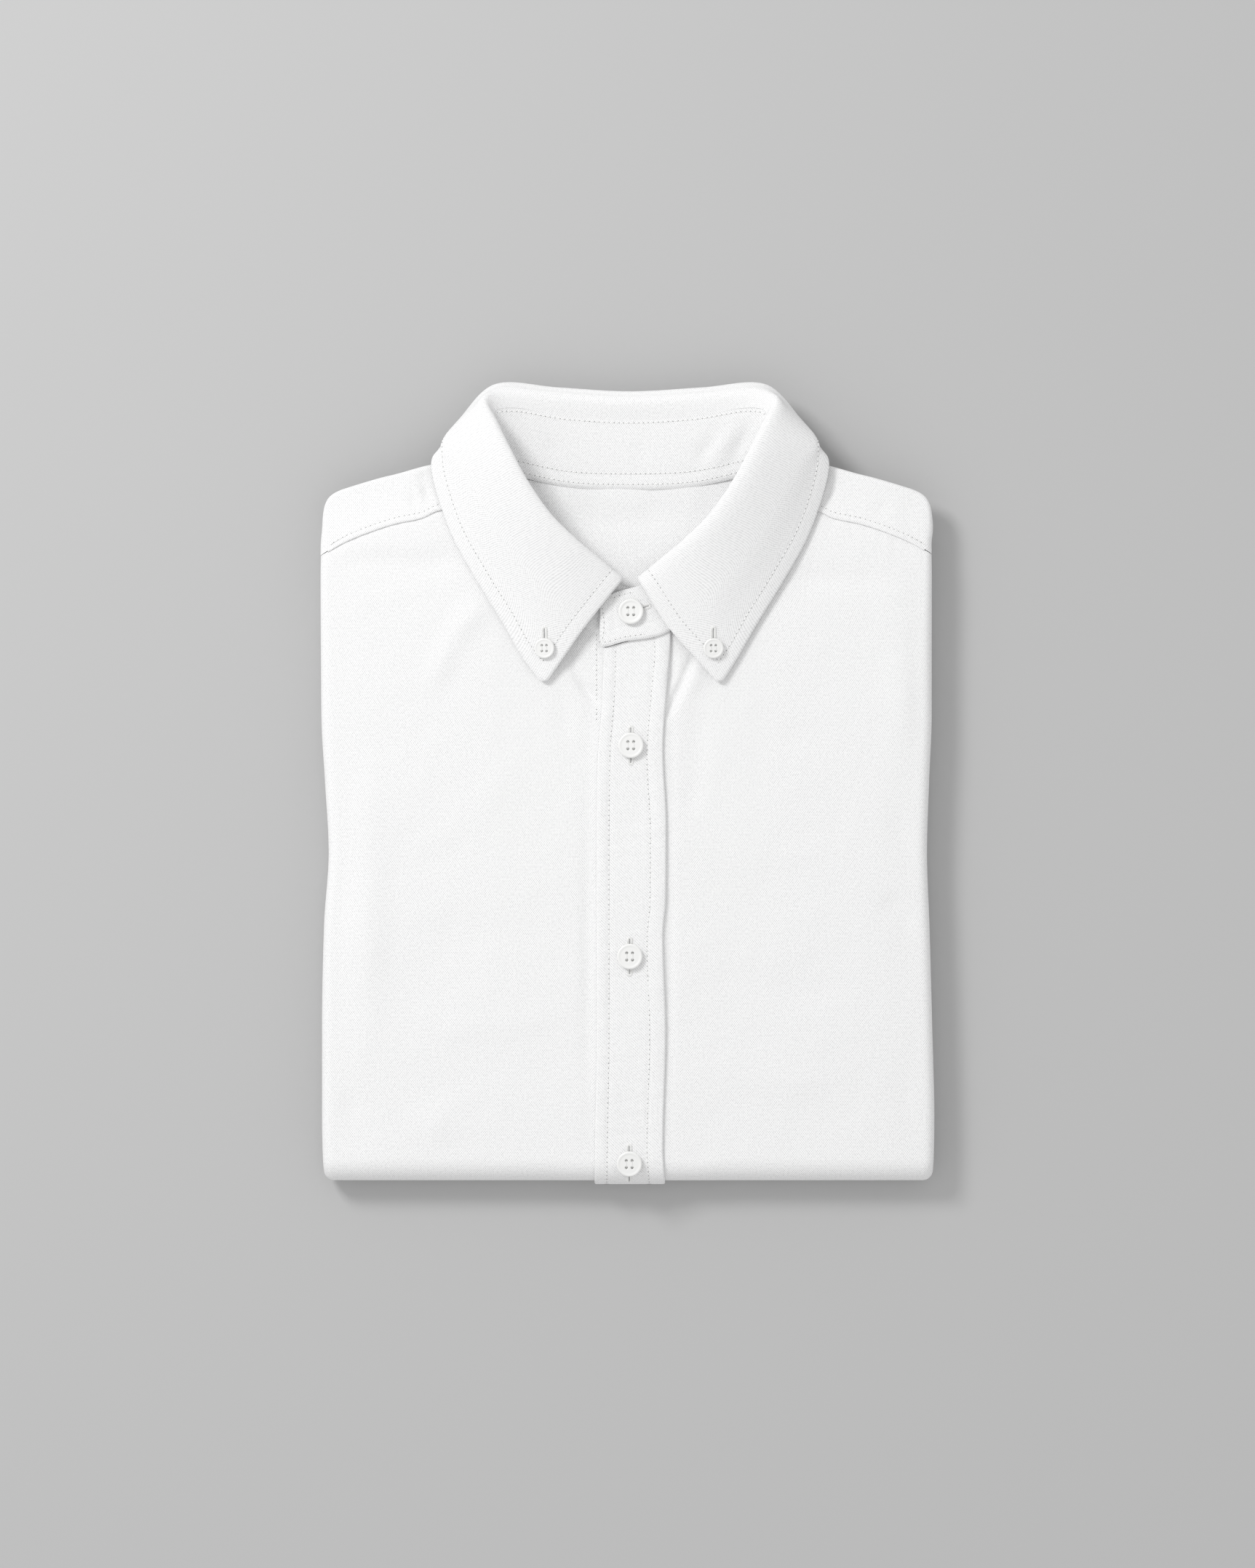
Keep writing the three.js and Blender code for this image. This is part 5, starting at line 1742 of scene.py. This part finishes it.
@dataclass
class Button:
    """A sewn-on four-hole button with a rim, a shallow dish and its thread."""

    name: str
    node: str
    seat: Seat
    radius: float = 5.7
    height: float = 2.3
    rim: float = 0.95
    dish: float = 0.2
    edge_fall: float = 0.75  # how far the rim rounds off outwards
    hole_radius: float = 0.58
    hole_spread: tuple[float, float] = (1.3, 1.6)
    hole_depth: float = 1.5
    hole_bevel: float = 0.07
    rings: int = 46
    sectors: int = 112
    strand: float = 0.1  # the thread's half thickness
    strand_shift: float = 0.13  # from a bar's middle to each of its two strands
    strand_sides: int = 8
    strand_stations: int = 21

    def face(self, out: Array, x: Array, y: Array) -> Array:
        """The button's face, with its rim, dish and holes.

        Args:
            out: distances from the middle.
            x: distances across.
            y: distances along.

        Returns:
            The height at each point.
        """
        inner = self.radius - 1.75 * self.rim
        crest = self.radius - 0.72 * self.rim
        top = self.height - self.dish * ease((crest - out) / (crest - inner))
        edge = np.clip((out - crest) / (self.radius - crest), 0, 1)
        top = top - self.edge_fall * (1 - np.sqrt(np.maximum(1 - edge ** 2, 0)))
        for sign_x in (-1, 1):
            for sign_y in (-1, 1):
                away = np.hypot(x - sign_x * self.hole_spread[0], y - sign_y * self.hole_spread[1])
                top = top - self.hole_depth * ease((self.hole_radius + 0.1 - away) / 0.2)
                top = top - self.hole_bevel * ease((self.hole_radius + 0.45 - away) / 0.4)
        return top

    def build(self, finish: Material, thread: Material) -> list[Object]:
        """Makes the button and its thread.

        Args:
            finish: the button's material.
            thread: the thread's material.

        Returns:
            Both pieces.
        """
        share = np.linspace(0, 1, self.rings + 1)[1:]
        outs = self.radius * (0.55 * share + 0.45 * np.sin(share * np.pi / 2))
        angle = np.linspace(0, 2 * np.pi, self.sectors, endpoint=False)
        out, turn = np.meshgrid(outs, angle, indexing="ij")
        x, y = out * np.cos(turn), out * np.sin(turn)
        face = np.stack([x, y, self.face(out, x, y)], axis=-1)
        lower = [(1.0, self.height * 0.5), (0.97, self.height * 0.34), (0.86, 0.18), (0.74, 0.0)]
        circle = np.stack([np.cos(angle), np.sin(angle), 0 * angle], axis=-1)
        rings = [circle * self.radius * wide + [0, 0, z] for wide, z in lower]
        grid = np.concatenate([face, np.stack(rings)])
        middle_z = float(self.face(np.zeros(1), np.zeros(1), np.zeros(1))[0])
        vertices = np.concatenate([[[0, 0, middle_z]], grid.reshape(-1, 3), [[0, 0, 0]]])
        index = 1 + np.arange(grid.shape[0] * self.sectors).reshape(-1, self.sectors)
        after = np.roll(index, -1, axis=1)
        last = np.full(self.sectors, len(vertices) - 1)
        faces = np.stack([0 * index[0], index[0], after[0]], axis=-1).tolist()
        faces += np.stack([last, after[-1], index[-1]], axis=-1).tolist()
        sides = np.stack([index[:-1], index[1:], after[1:], after[:-1]], axis=-1)
        faces += sides.reshape(-1, 4).tolist()
        body = self.finished(self.name, vertices, faces, finish)
        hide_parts(self.node)
        return [body, self.thread(thread)]

    def finished(
        self, name: str, local: Array, faces: list[list[int]], finish: Material
    ) -> Object:
        """Makes a smooth piece from points in the button's own frame.

        Args:
            name: the piece's name.
            local: its points.
            faces: its faces.
            finish: its material.

        Returns:
            The piece.
        """
        mesh = bpy.data.meshes.new(name)
        mesh.from_pydata((self.seat.place(local) * MM).tolist(), [], faces)
        mesh.materials.append(finish)
        return smooth_object(name, mesh)

    def thread(self, finish: Material) -> Object:
        """The sewing thread: two bars of two strands between the holes.

        Args:
            finish: the thread's material.

        Returns:
            The piece.
        """
        points: list[Array] = []
        faces: list[list[int]] = []
        sides, stations = self.strand_sides, self.strand_stations
        share = np.linspace(-1, 1, stations)
        y = share * self.hole_spread[1]
        rise = self.height - self.dish + 0.04 - 1.1 * fade(np.abs(share), 0.62, 0.38)
        ring = np.linspace(0, 2 * np.pi, sides, endpoint=False)
        z = rise[:, None] + self.strand * np.sin(ring)[None, :]
        index = np.arange(stations * sides).reshape(stations, sides)
        after = np.roll(index, -1, axis=1)
        quads = np.stack([index[:-1], index[1:], after[1:], after[:-1]], -1).reshape(-1, 4)
        for sign in (-1, 1):
            for shift in (-self.strand_shift, self.strand_shift):
                start = len(points) * stations * sides
                x = sign * self.hole_spread[0] + shift + self.strand * np.cos(ring)[None, :] + 0 * z
                points.append(np.stack([x, y[:, None] + 0 * x, z], axis=-1).reshape(-1, 3))
                faces += (quads + start).tolist()
                faces += [(index[0] + start).tolist(), (index[-1][::-1] + start).tolist()]
        return self.finished(f"{self.name}_thread", np.concatenate(points), faces, finish)


@dataclass(frozen=True)
class Buttonhole:
    """An embroidered buttonhole: satin stitches round a slit."""

    seat: Seat
    surface: Callable[[Array], Array]  # drops points on the cloth
    length: float = 15.6
    offset: float = 0.0  # the hole's middle ahead of the seat's, along the hole
    width: float = 0.8  # from the slit to the middle of the satin
    satin_lift: float = 0.05
    slit_lift: float = 0.06
    slit_gap: float = 0.3  # from the slit's end to the hole's
    slit_points: int = 40

    def outline(self) -> StitchLine:
        """Lays out the satin.

        Returns:
            The stadium-shaped line that it follows.
        """
        half = self.length / 2 - self.width
        turn = np.linspace(-np.pi / 2, np.pi / 2, 9)
        cap = np.stack([-np.sin(turn) * self.width, half + np.cos(turn) * self.width], axis=-1)
        side = np.linspace(half, -half, 30)[1:-1]
        left = np.stack([0 * side - self.width, side], axis=-1)
        ring = np.concatenate([cap, left, -cap, -left, cap[:1]])
        return self.on_cloth(ring, self.satin_lift)

    def on_cloth(self, flat: Array, lift: float) -> StitchLine:
        """Places a flat line on the cloth under the seat.

        Args:
            flat: its points across and along the hole.
            lift: distance out of the cloth.

        Returns:
            The line on the cloth.
        """
        local = np.column_stack([flat[:, 0], flat[:, 1] + self.offset, np.zeros(len(flat))])
        points = self.surface(self.seat.place(local))
        up = np.broadcast_to(self.seat.axes()[2], points.shape)
        return StitchLine(points + up * lift, up)

    def slit(self) -> StitchLine:
        """The slit's line, along which dark beads paint the shade inside the cut."""
        half = self.length / 2 - self.slit_gap
        along = np.linspace(-half, half, self.slit_points)
        return self.on_cloth(np.column_stack([0 * along, along]), self.slit_lift)


def on_body(flat: Array, lift: float) -> StitchLine:
    """Places x, y points on the pack's top or on the near half of its bottom fold.

    Args:
        flat: x and y of each point.
        lift: distance out of the pack's surface.

    Returns:
        The points and the directions out of the surface there.
    """
    x, y = flat[:, 0], flat[:, 1]
    low, radius, fold_y = FORM.bottom_fold(x)
    turn = np.arcsin(np.clip((fold_y - y) / (radius + lift), 0, 1))
    level = FORM.top_height(x, np.maximum(y, fold_y)) + lift
    z = np.where(y >= fold_y, level, low + radius + (radius + lift) * np.cos(turn))
    return StitchLine(np.column_stack([x, y, z]), np.column_stack([0 * x, -np.sin(turn), np.cos(turn)]))


def on_placket(points: Array) -> Array:
    """Drops points on the placket's face."""
    return on_body(points[:, :2], PLACKET_LIFT).points


class GridFace:
    """A surface grid that flat places can be dropped on from above."""

    LEAST_UP = 0.25

    def __init__(self, grid: Array) -> None:
        """Keeps the part of a grid that faces up.

        Args:
            grid: the surface's points.
        """
        points, normals = grid.reshape(-1, 3), grid_normals(grid).reshape(-1, 3)
        if np.sum(normals[:, 2]) < 0:
            normals = -normals
        up = normals[:, 2] > self.LEAST_UP
        self.points, self.normals = points[up], normals[up]

    def drop(self, flat: Array) -> tuple[Array, Array]:
        """Finds the surface under flat places.

        Args:
            flat: x and y of each place; further columns are left out.

        Returns:
            The surface points and the directions out of the surface.
        """
        away = (self.points[None, :, 0] - flat[:, :1]) ** 2 + (self.points[None, :, 1] - flat[:, 1:2]) ** 2
        nearest = np.argmin(away, axis=1)
        base, normal = self.points[nearest], self.normals[nearest]
        dx, dy = flat[:, 0] - base[:, 0], flat[:, 1] - base[:, 1]
        z = base[:, 2] - (normal[:, 0] * dx + normal[:, 1] * dy) / normal[:, 2]
        return np.column_stack([flat[:, 0], flat[:, 1], z]), normal

    def under(self, points: Array) -> Array:
        """Drops points on the surface."""
        return self.drop(points)[0]


PLACKET_BUTTONS = ((1.5, 17.3), (1.0, -77.2), (0.8, -169.9))
STAND_BUTTON = (1.5, 77.2)
POINT_BUTTONS = (("left", -37.0, 60.9), ("right", 38.3, 60.9))
STAND_BUTTONHOLE_TURN = math.radians(-73)
TAB_START = 0.86  # where the buttoned end begins, as a share of the stand's length
TAB_INSET = 2.0
STRAIGHT_UP = np.array([0.0, 0.0, 1.0])


@dataclass
class Fastenings:
    """All buttons with their buttonholes."""

    leaf_face: GridFace
    stand_face: GridFace

    def build(
        self, finish: Material, thread: Material
    ) -> tuple[list[Object], list[Buttonhole]]:
        """Makes the buttons and gathers the buttonholes under them.

        Args:
            finish: the buttons' material.
            thread: the sewing thread's material.

        Returns:
            The button and thread objects, and the buttonholes.
        """
        buttons: list[Button] = []
        holes: list[Buttonhole] = []
        for index, place in enumerate(PLACKET_BUTTONS, start=1):
            line = on_body(np.array([place]), PLACKET_LIFT + BUTTON_LIFT)
            seat = Seat(line.points[0], line.ups[0])
            buttons.append(Button(f"placket_button_{index}", f"button_placket_{index}", seat))
            holes.append(Buttonhole(seat, on_placket, length=17.0))
        point = self.stand_face.under(np.array([STAND_BUTTON]))[0]
        seat = Seat(point, STRAIGHT_UP).raised(BUTTON_LIFT)
        buttons.append(Button("stand_button", "button_collar_stand", seat, rim=1.1, dish=0.35))
        turned = Seat(point, STRAIGHT_UP, STAND_BUTTONHOLE_TURN)
        holes.append(Buttonhole(turned, self.stand_face.under, length=13.4, offset=2.4))
        for side, *place in POINT_BUTTONS:
            points, ups = self.leaf_face.drop(np.array([place]))
            seat = Seat(points[0], ups[0])
            buttons.append(Button(
                f"point_button_{side}", f"button_collar_point_{side}", seat.raised(BUTTON_LIFT), radius=4.55,
                height=1.95, rim=0.8, dish=0.18, hole_radius=0.5, hole_spread=(1.05, 1.3), hole_depth=1.2,
            ))
            holes.append(Buttonhole(seat, self.leaf_face.under, length=13.6, offset=2.6))
        pieces = [piece for button in buttons for piece in button.build(finish, thread)]
        return pieces, holes


# ---- where the stitches run ----
LEAF_FACE_SHARE = 0.62  # across the leaf, where its upper face is told from its lower one
STAND_FACE_SHARE = 0.5
BACK_STATIONS = (0.26, 0.68)  # shares of the stand's length that show behind the neck
BACK_ROWS = (2.5, 7.2)  # stitch rows up from the neck seam
BACK_TOP_ROW = 1.5  # and down from the leaf's seam
LEAF_SEAM_ROWS = 4  # rows beside the leaf's seam that its front stitching keeps off
PLACKET_STITCH_SINK = 0.12  # how deep the placket's stitches lie in their groove
BUTTON_STAND_STITCH = ((-13.9, 70.0), (-13.9, 30.0))
YOKE_STITCH_X = (132.5, 68.0)
YOKE_STITCH_UP = 2.15  # from the yoke's edge
YOKE_STITCH_LIFT = 0.33


def leaf_lines(collar: Collar, leaf: Wall) -> list[StitchLine]:
    """The stitching along the leaf's edge and its two fronts.

    Args:
        collar: the collar's sizes.
        leaf: the leaf's wall.

    Returns:
        One line along the edge, then one for each front.
    """
    middle = collar.leaf_middle()
    face = leaf.facing_up(LEAF_FACE_SHARE)
    along, across = spans(middle, 0), spans(middle, 1)
    band = collar.edge_band
    row = crossing_back(across, band)
    stations = np.arange(middle.shape[0], dtype=float)
    depth = sample_grid(along[..., None], stations, row)[:, 0]
    whole = sample_grid(along[..., None], stations * 0 + len(stations) - 1.01, row)[:, 0]
    inside = (depth > band) & (whole - depth > band)
    lines = [StitchLine.on_grid(face, stations[inside], row[inside])]
    rows = np.arange(middle.shape[1], dtype=float)
    for station in (crossing(along.T, band), crossing_back(along.T, band)):
        left = sample_grid((across[:, -1:] - across)[..., None], station, rows)[:, 0]
        kept = (left > band) & (rows > LEAF_SEAM_ROWS)
        lines.append(StitchLine.on_grid(face, station[kept], rows[kept]))
    return lines


def stand_lines(collar: Collar, stand: Wall) -> list[StitchLine]:
    """The stitching inside the stand's back and round its buttoned end.

    Args:
        collar: the collar's sizes.
        stand: the stand's wall.

    Returns:
        Three lines behind the neck, then three round the buttoned end.
    """
    middle = collar.stand_middle()
    back = slice(*(int(share * len(middle)) for share in BACK_STATIONS))
    face = stand.part(back).facing_up(STAND_FACE_SHARE)
    height = spans(middle[back], 1)
    stations = np.arange(len(height), dtype=float)
    rows = [crossing(height, up) for up in BACK_ROWS] + [crossing_back(height, BACK_TOP_ROW)]
    lines = [StitchLine.on_grid(face, stations, row) for row in rows]
    tab = slice(int(TAB_START * len(middle)), None)
    face = stand.part(tab).facing_up(STAND_FACE_SHARE)
    height, reach = spans(middle[tab], 1), spans(middle[tab], 0)
    stations = np.arange(len(height), dtype=float)
    low, high = crossing(height, TAB_INSET), crossing_back(height, TAB_INSET)
    for row in (low, high):
        left = sample_grid((reach[-1:] - reach)[..., None], stations, row)[:, 0]
        kept = left > TAB_INSET
        lines.append(StitchLine.on_grid(face, stations[kept], row[kept]))
    rows = np.arange(height.shape[1], dtype=float)
    kept = (rows > low[-1]) & (rows < high[-1])
    lines.append(StitchLine.on_grid(face, crossing_back(reach.T, TAB_INSET)[kept], rows[kept]))
    return lines


def body_lines() -> list[StitchLine]:
    """The stitching of the placket, the button stand and the yoke seams.

    Returns:
        Two lines, one line and two lines, in that order.
    """
    lines: list[StitchLine] = []
    edges = ((FORM.placket_left, 1), (FORM.placket_right, -1))
    for (edge, way), inset in zip(edges, PLACKET.stitch_insets):
        top = float(FORM.placket_top(edge(np.array(60.0)))) - 0.5
        y = np.linspace(top, BOTTOM_EDGE + 0.2, 320)
        flat = np.column_stack([edge(y) + way * inset, y])
        lines.append(on_body(flat, PLACKET_LIFT - PLACKET_STITCH_SINK))
    lines.append(on_body(np.linspace(*np.array(BUTTON_STAND_STITCH), 60), STITCH_LIFT))
    for sign in (-1.0, 1.0):
        x = sign * np.linspace(*YOKE_STITCH_X, 120)
        y = FORM.front_top(x) + SEAM_GAP + YOKE_STITCH_UP
        lines.append(on_body(np.column_stack([x, y]), YOKE_STITCH_LIFT))
    return lines


# ---- stage ----
@dataclass(frozen=True)
class Studio:
    """A pale floor, soft light from the upper left and the camera straight above."""

    floor_colour: tuple[float, float, float] = (0.50, 0.50, 0.50)
    floor_half: float = 4.0
    floor_z: float = -0.0003
    dome: float = 0.77
    key_energy: float = 17.0
    key_size: float = 0.5
    key_place: tuple[float, float, float] = (-1.0, 0.95, 1.35)
    camera_height: float = 3.2
    sensor: float = 36.0
    pixel: float = 0.3257  # millimetres of the shirt's top for each pixel of the frame
    frame_height: int = 2156  # pixels

    def floor(self) -> None:
        """The plain floor that the shirt lies on."""
        mesh = bpy.data.meshes.new("floor")
        signs = ((-1, -1), (1, -1), (1, 1), (-1, 1))
        corners = [(x * self.floor_half, y * self.floor_half, self.floor_z) for x, y in signs]
        mesh.from_pydata(corners, [], [(0, 1, 2, 3)])
        mesh.materials.append(PlainFinish("pale_floor", self.floor_colour, 0.9, specular=0.1).make())
        linked(bpy.data.objects.new("floor", mesh))

    def lights(self) -> None:
        """An even dome and one soft key light."""
        world = bpy.data.worlds.new("studio")
        world.use_nodes = True
        background = world.node_tree.nodes["Background"]
        background.inputs["Color"].default_value = (1, 1, 1, 1)
        background.inputs["Strength"].default_value = self.dome
        bpy.context.scene.world = world
        light = bpy.data.lights.new("key", "AREA")
        light.energy = self.key_energy
        light.size = self.key_size
        lamp = linked(bpy.data.objects.new("key", light))
        lamp.location = self.key_place
        lamp.rotation_mode = "QUATERNION"
        lamp.rotation_quaternion = (-Vector(self.key_place)).to_track_quat("-Z", "Y")

    def camera(self) -> None:
        """The camera straight above the shirt."""
        data = bpy.data.cameras.new("camera")
        camera = linked(bpy.data.objects.new("camera", data))
        camera.location = (0, 0, self.camera_height)
        data.sensor_width = self.sensor
        tall = self.frame_height * self.pixel * MM
        data.lens = data.sensor_width * (self.camera_height - PACK_HEIGHT * MM) / tall
        bpy.context.scene.camera = camera

    def build(self) -> None:
        """Builds the whole stage."""
        self.floor()
        self.lights()
        self.camera()
        bpy.context.scene.view_settings.view_transform = "Standard"


def dress(piece: Object, finish: Material) -> None:
    """Args:
        piece: the cloth piece.
        finish: its material.
    """
    piece.data.materials.append(finish)
    cut = CUTS[piece.name]
    area = sum(polygon.area for polygon in piece.data.polygons) / 2
    LOG.info("%s: %.4f m2 of cloth, cut %.4f m2", piece.name, area, cut.square_metres())


def main() -> None:
    """Builds the shirt's pieces in order, dresses them and sets the stage."""
    logging.basicConfig(level=logging.INFO, format="%(name)s %(message)s", stream=sys.stdout)
    # folded is the plies' cloth, darkened as painted shade.
    cloth, folded = OXFORD.make(), FOLDED_OXFORD_SHADED.make()
    # hole is the dark finish that paints the needle holes' shade.
    thread, hole = THREAD.make(), NEEDLE_HOLE_SHADE.make()
    # slit is the grey finish that paints the shade inside the buttonhole slits.
    slit, button = SLIT_SHADE.make(), BUTTON.make()

    plies = FoldedLayers().build()
    dress(plies, folded)
    collar = Collar()
    leaf, stand = collar.walls()
    shells = [front.build() for front in FRONTS]
    shells += [PLACKET.build(), *Yoke().build(), *collar.build(leaf, stand)]
    for piece in shells:
        dress(piece, cloth)

    tab = stand.part(slice(int(TAB_START * len(stand.outer)), None))
    fastenings = Fastenings(
        GridFace(leaf.facing_up(LEAF_FACE_SHARE)[0]), GridFace(tab.facing_up(STAND_FACE_SHARE)[0]),
    )
    buttons, holes = fastenings.build(button, thread)
    sewing = Sewing()
    lines = body_lines() + leaf_lines(collar, leaf) + stand_lines(collar, stand)
    sewn = [
        sewing.lay("stitches", lines, RUNNING, thread),
        # dark beads of painted shade at the needle holes
        sewing.lay("needle_holes", lines, NEEDLE, hole),
        sewing.lay("buttonhole_satin", [each.outline() for each in holes], SATIN, thread),
        # grey beads of painted shade along the buttonhole slits
        sewing.lay("buttonhole_slits", [each.slit() for each in holes], SLIT_SHADE_BEADS, slit),
    ]
    for piece in [plies, *shells, *buttons, *sewn]:
        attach(piece, "root")
        LOG.info("%s rides on root with %d faces", piece.name, len(piece.data.polygons))
    Studio().build()


if __name__ == "__main__":
    main()
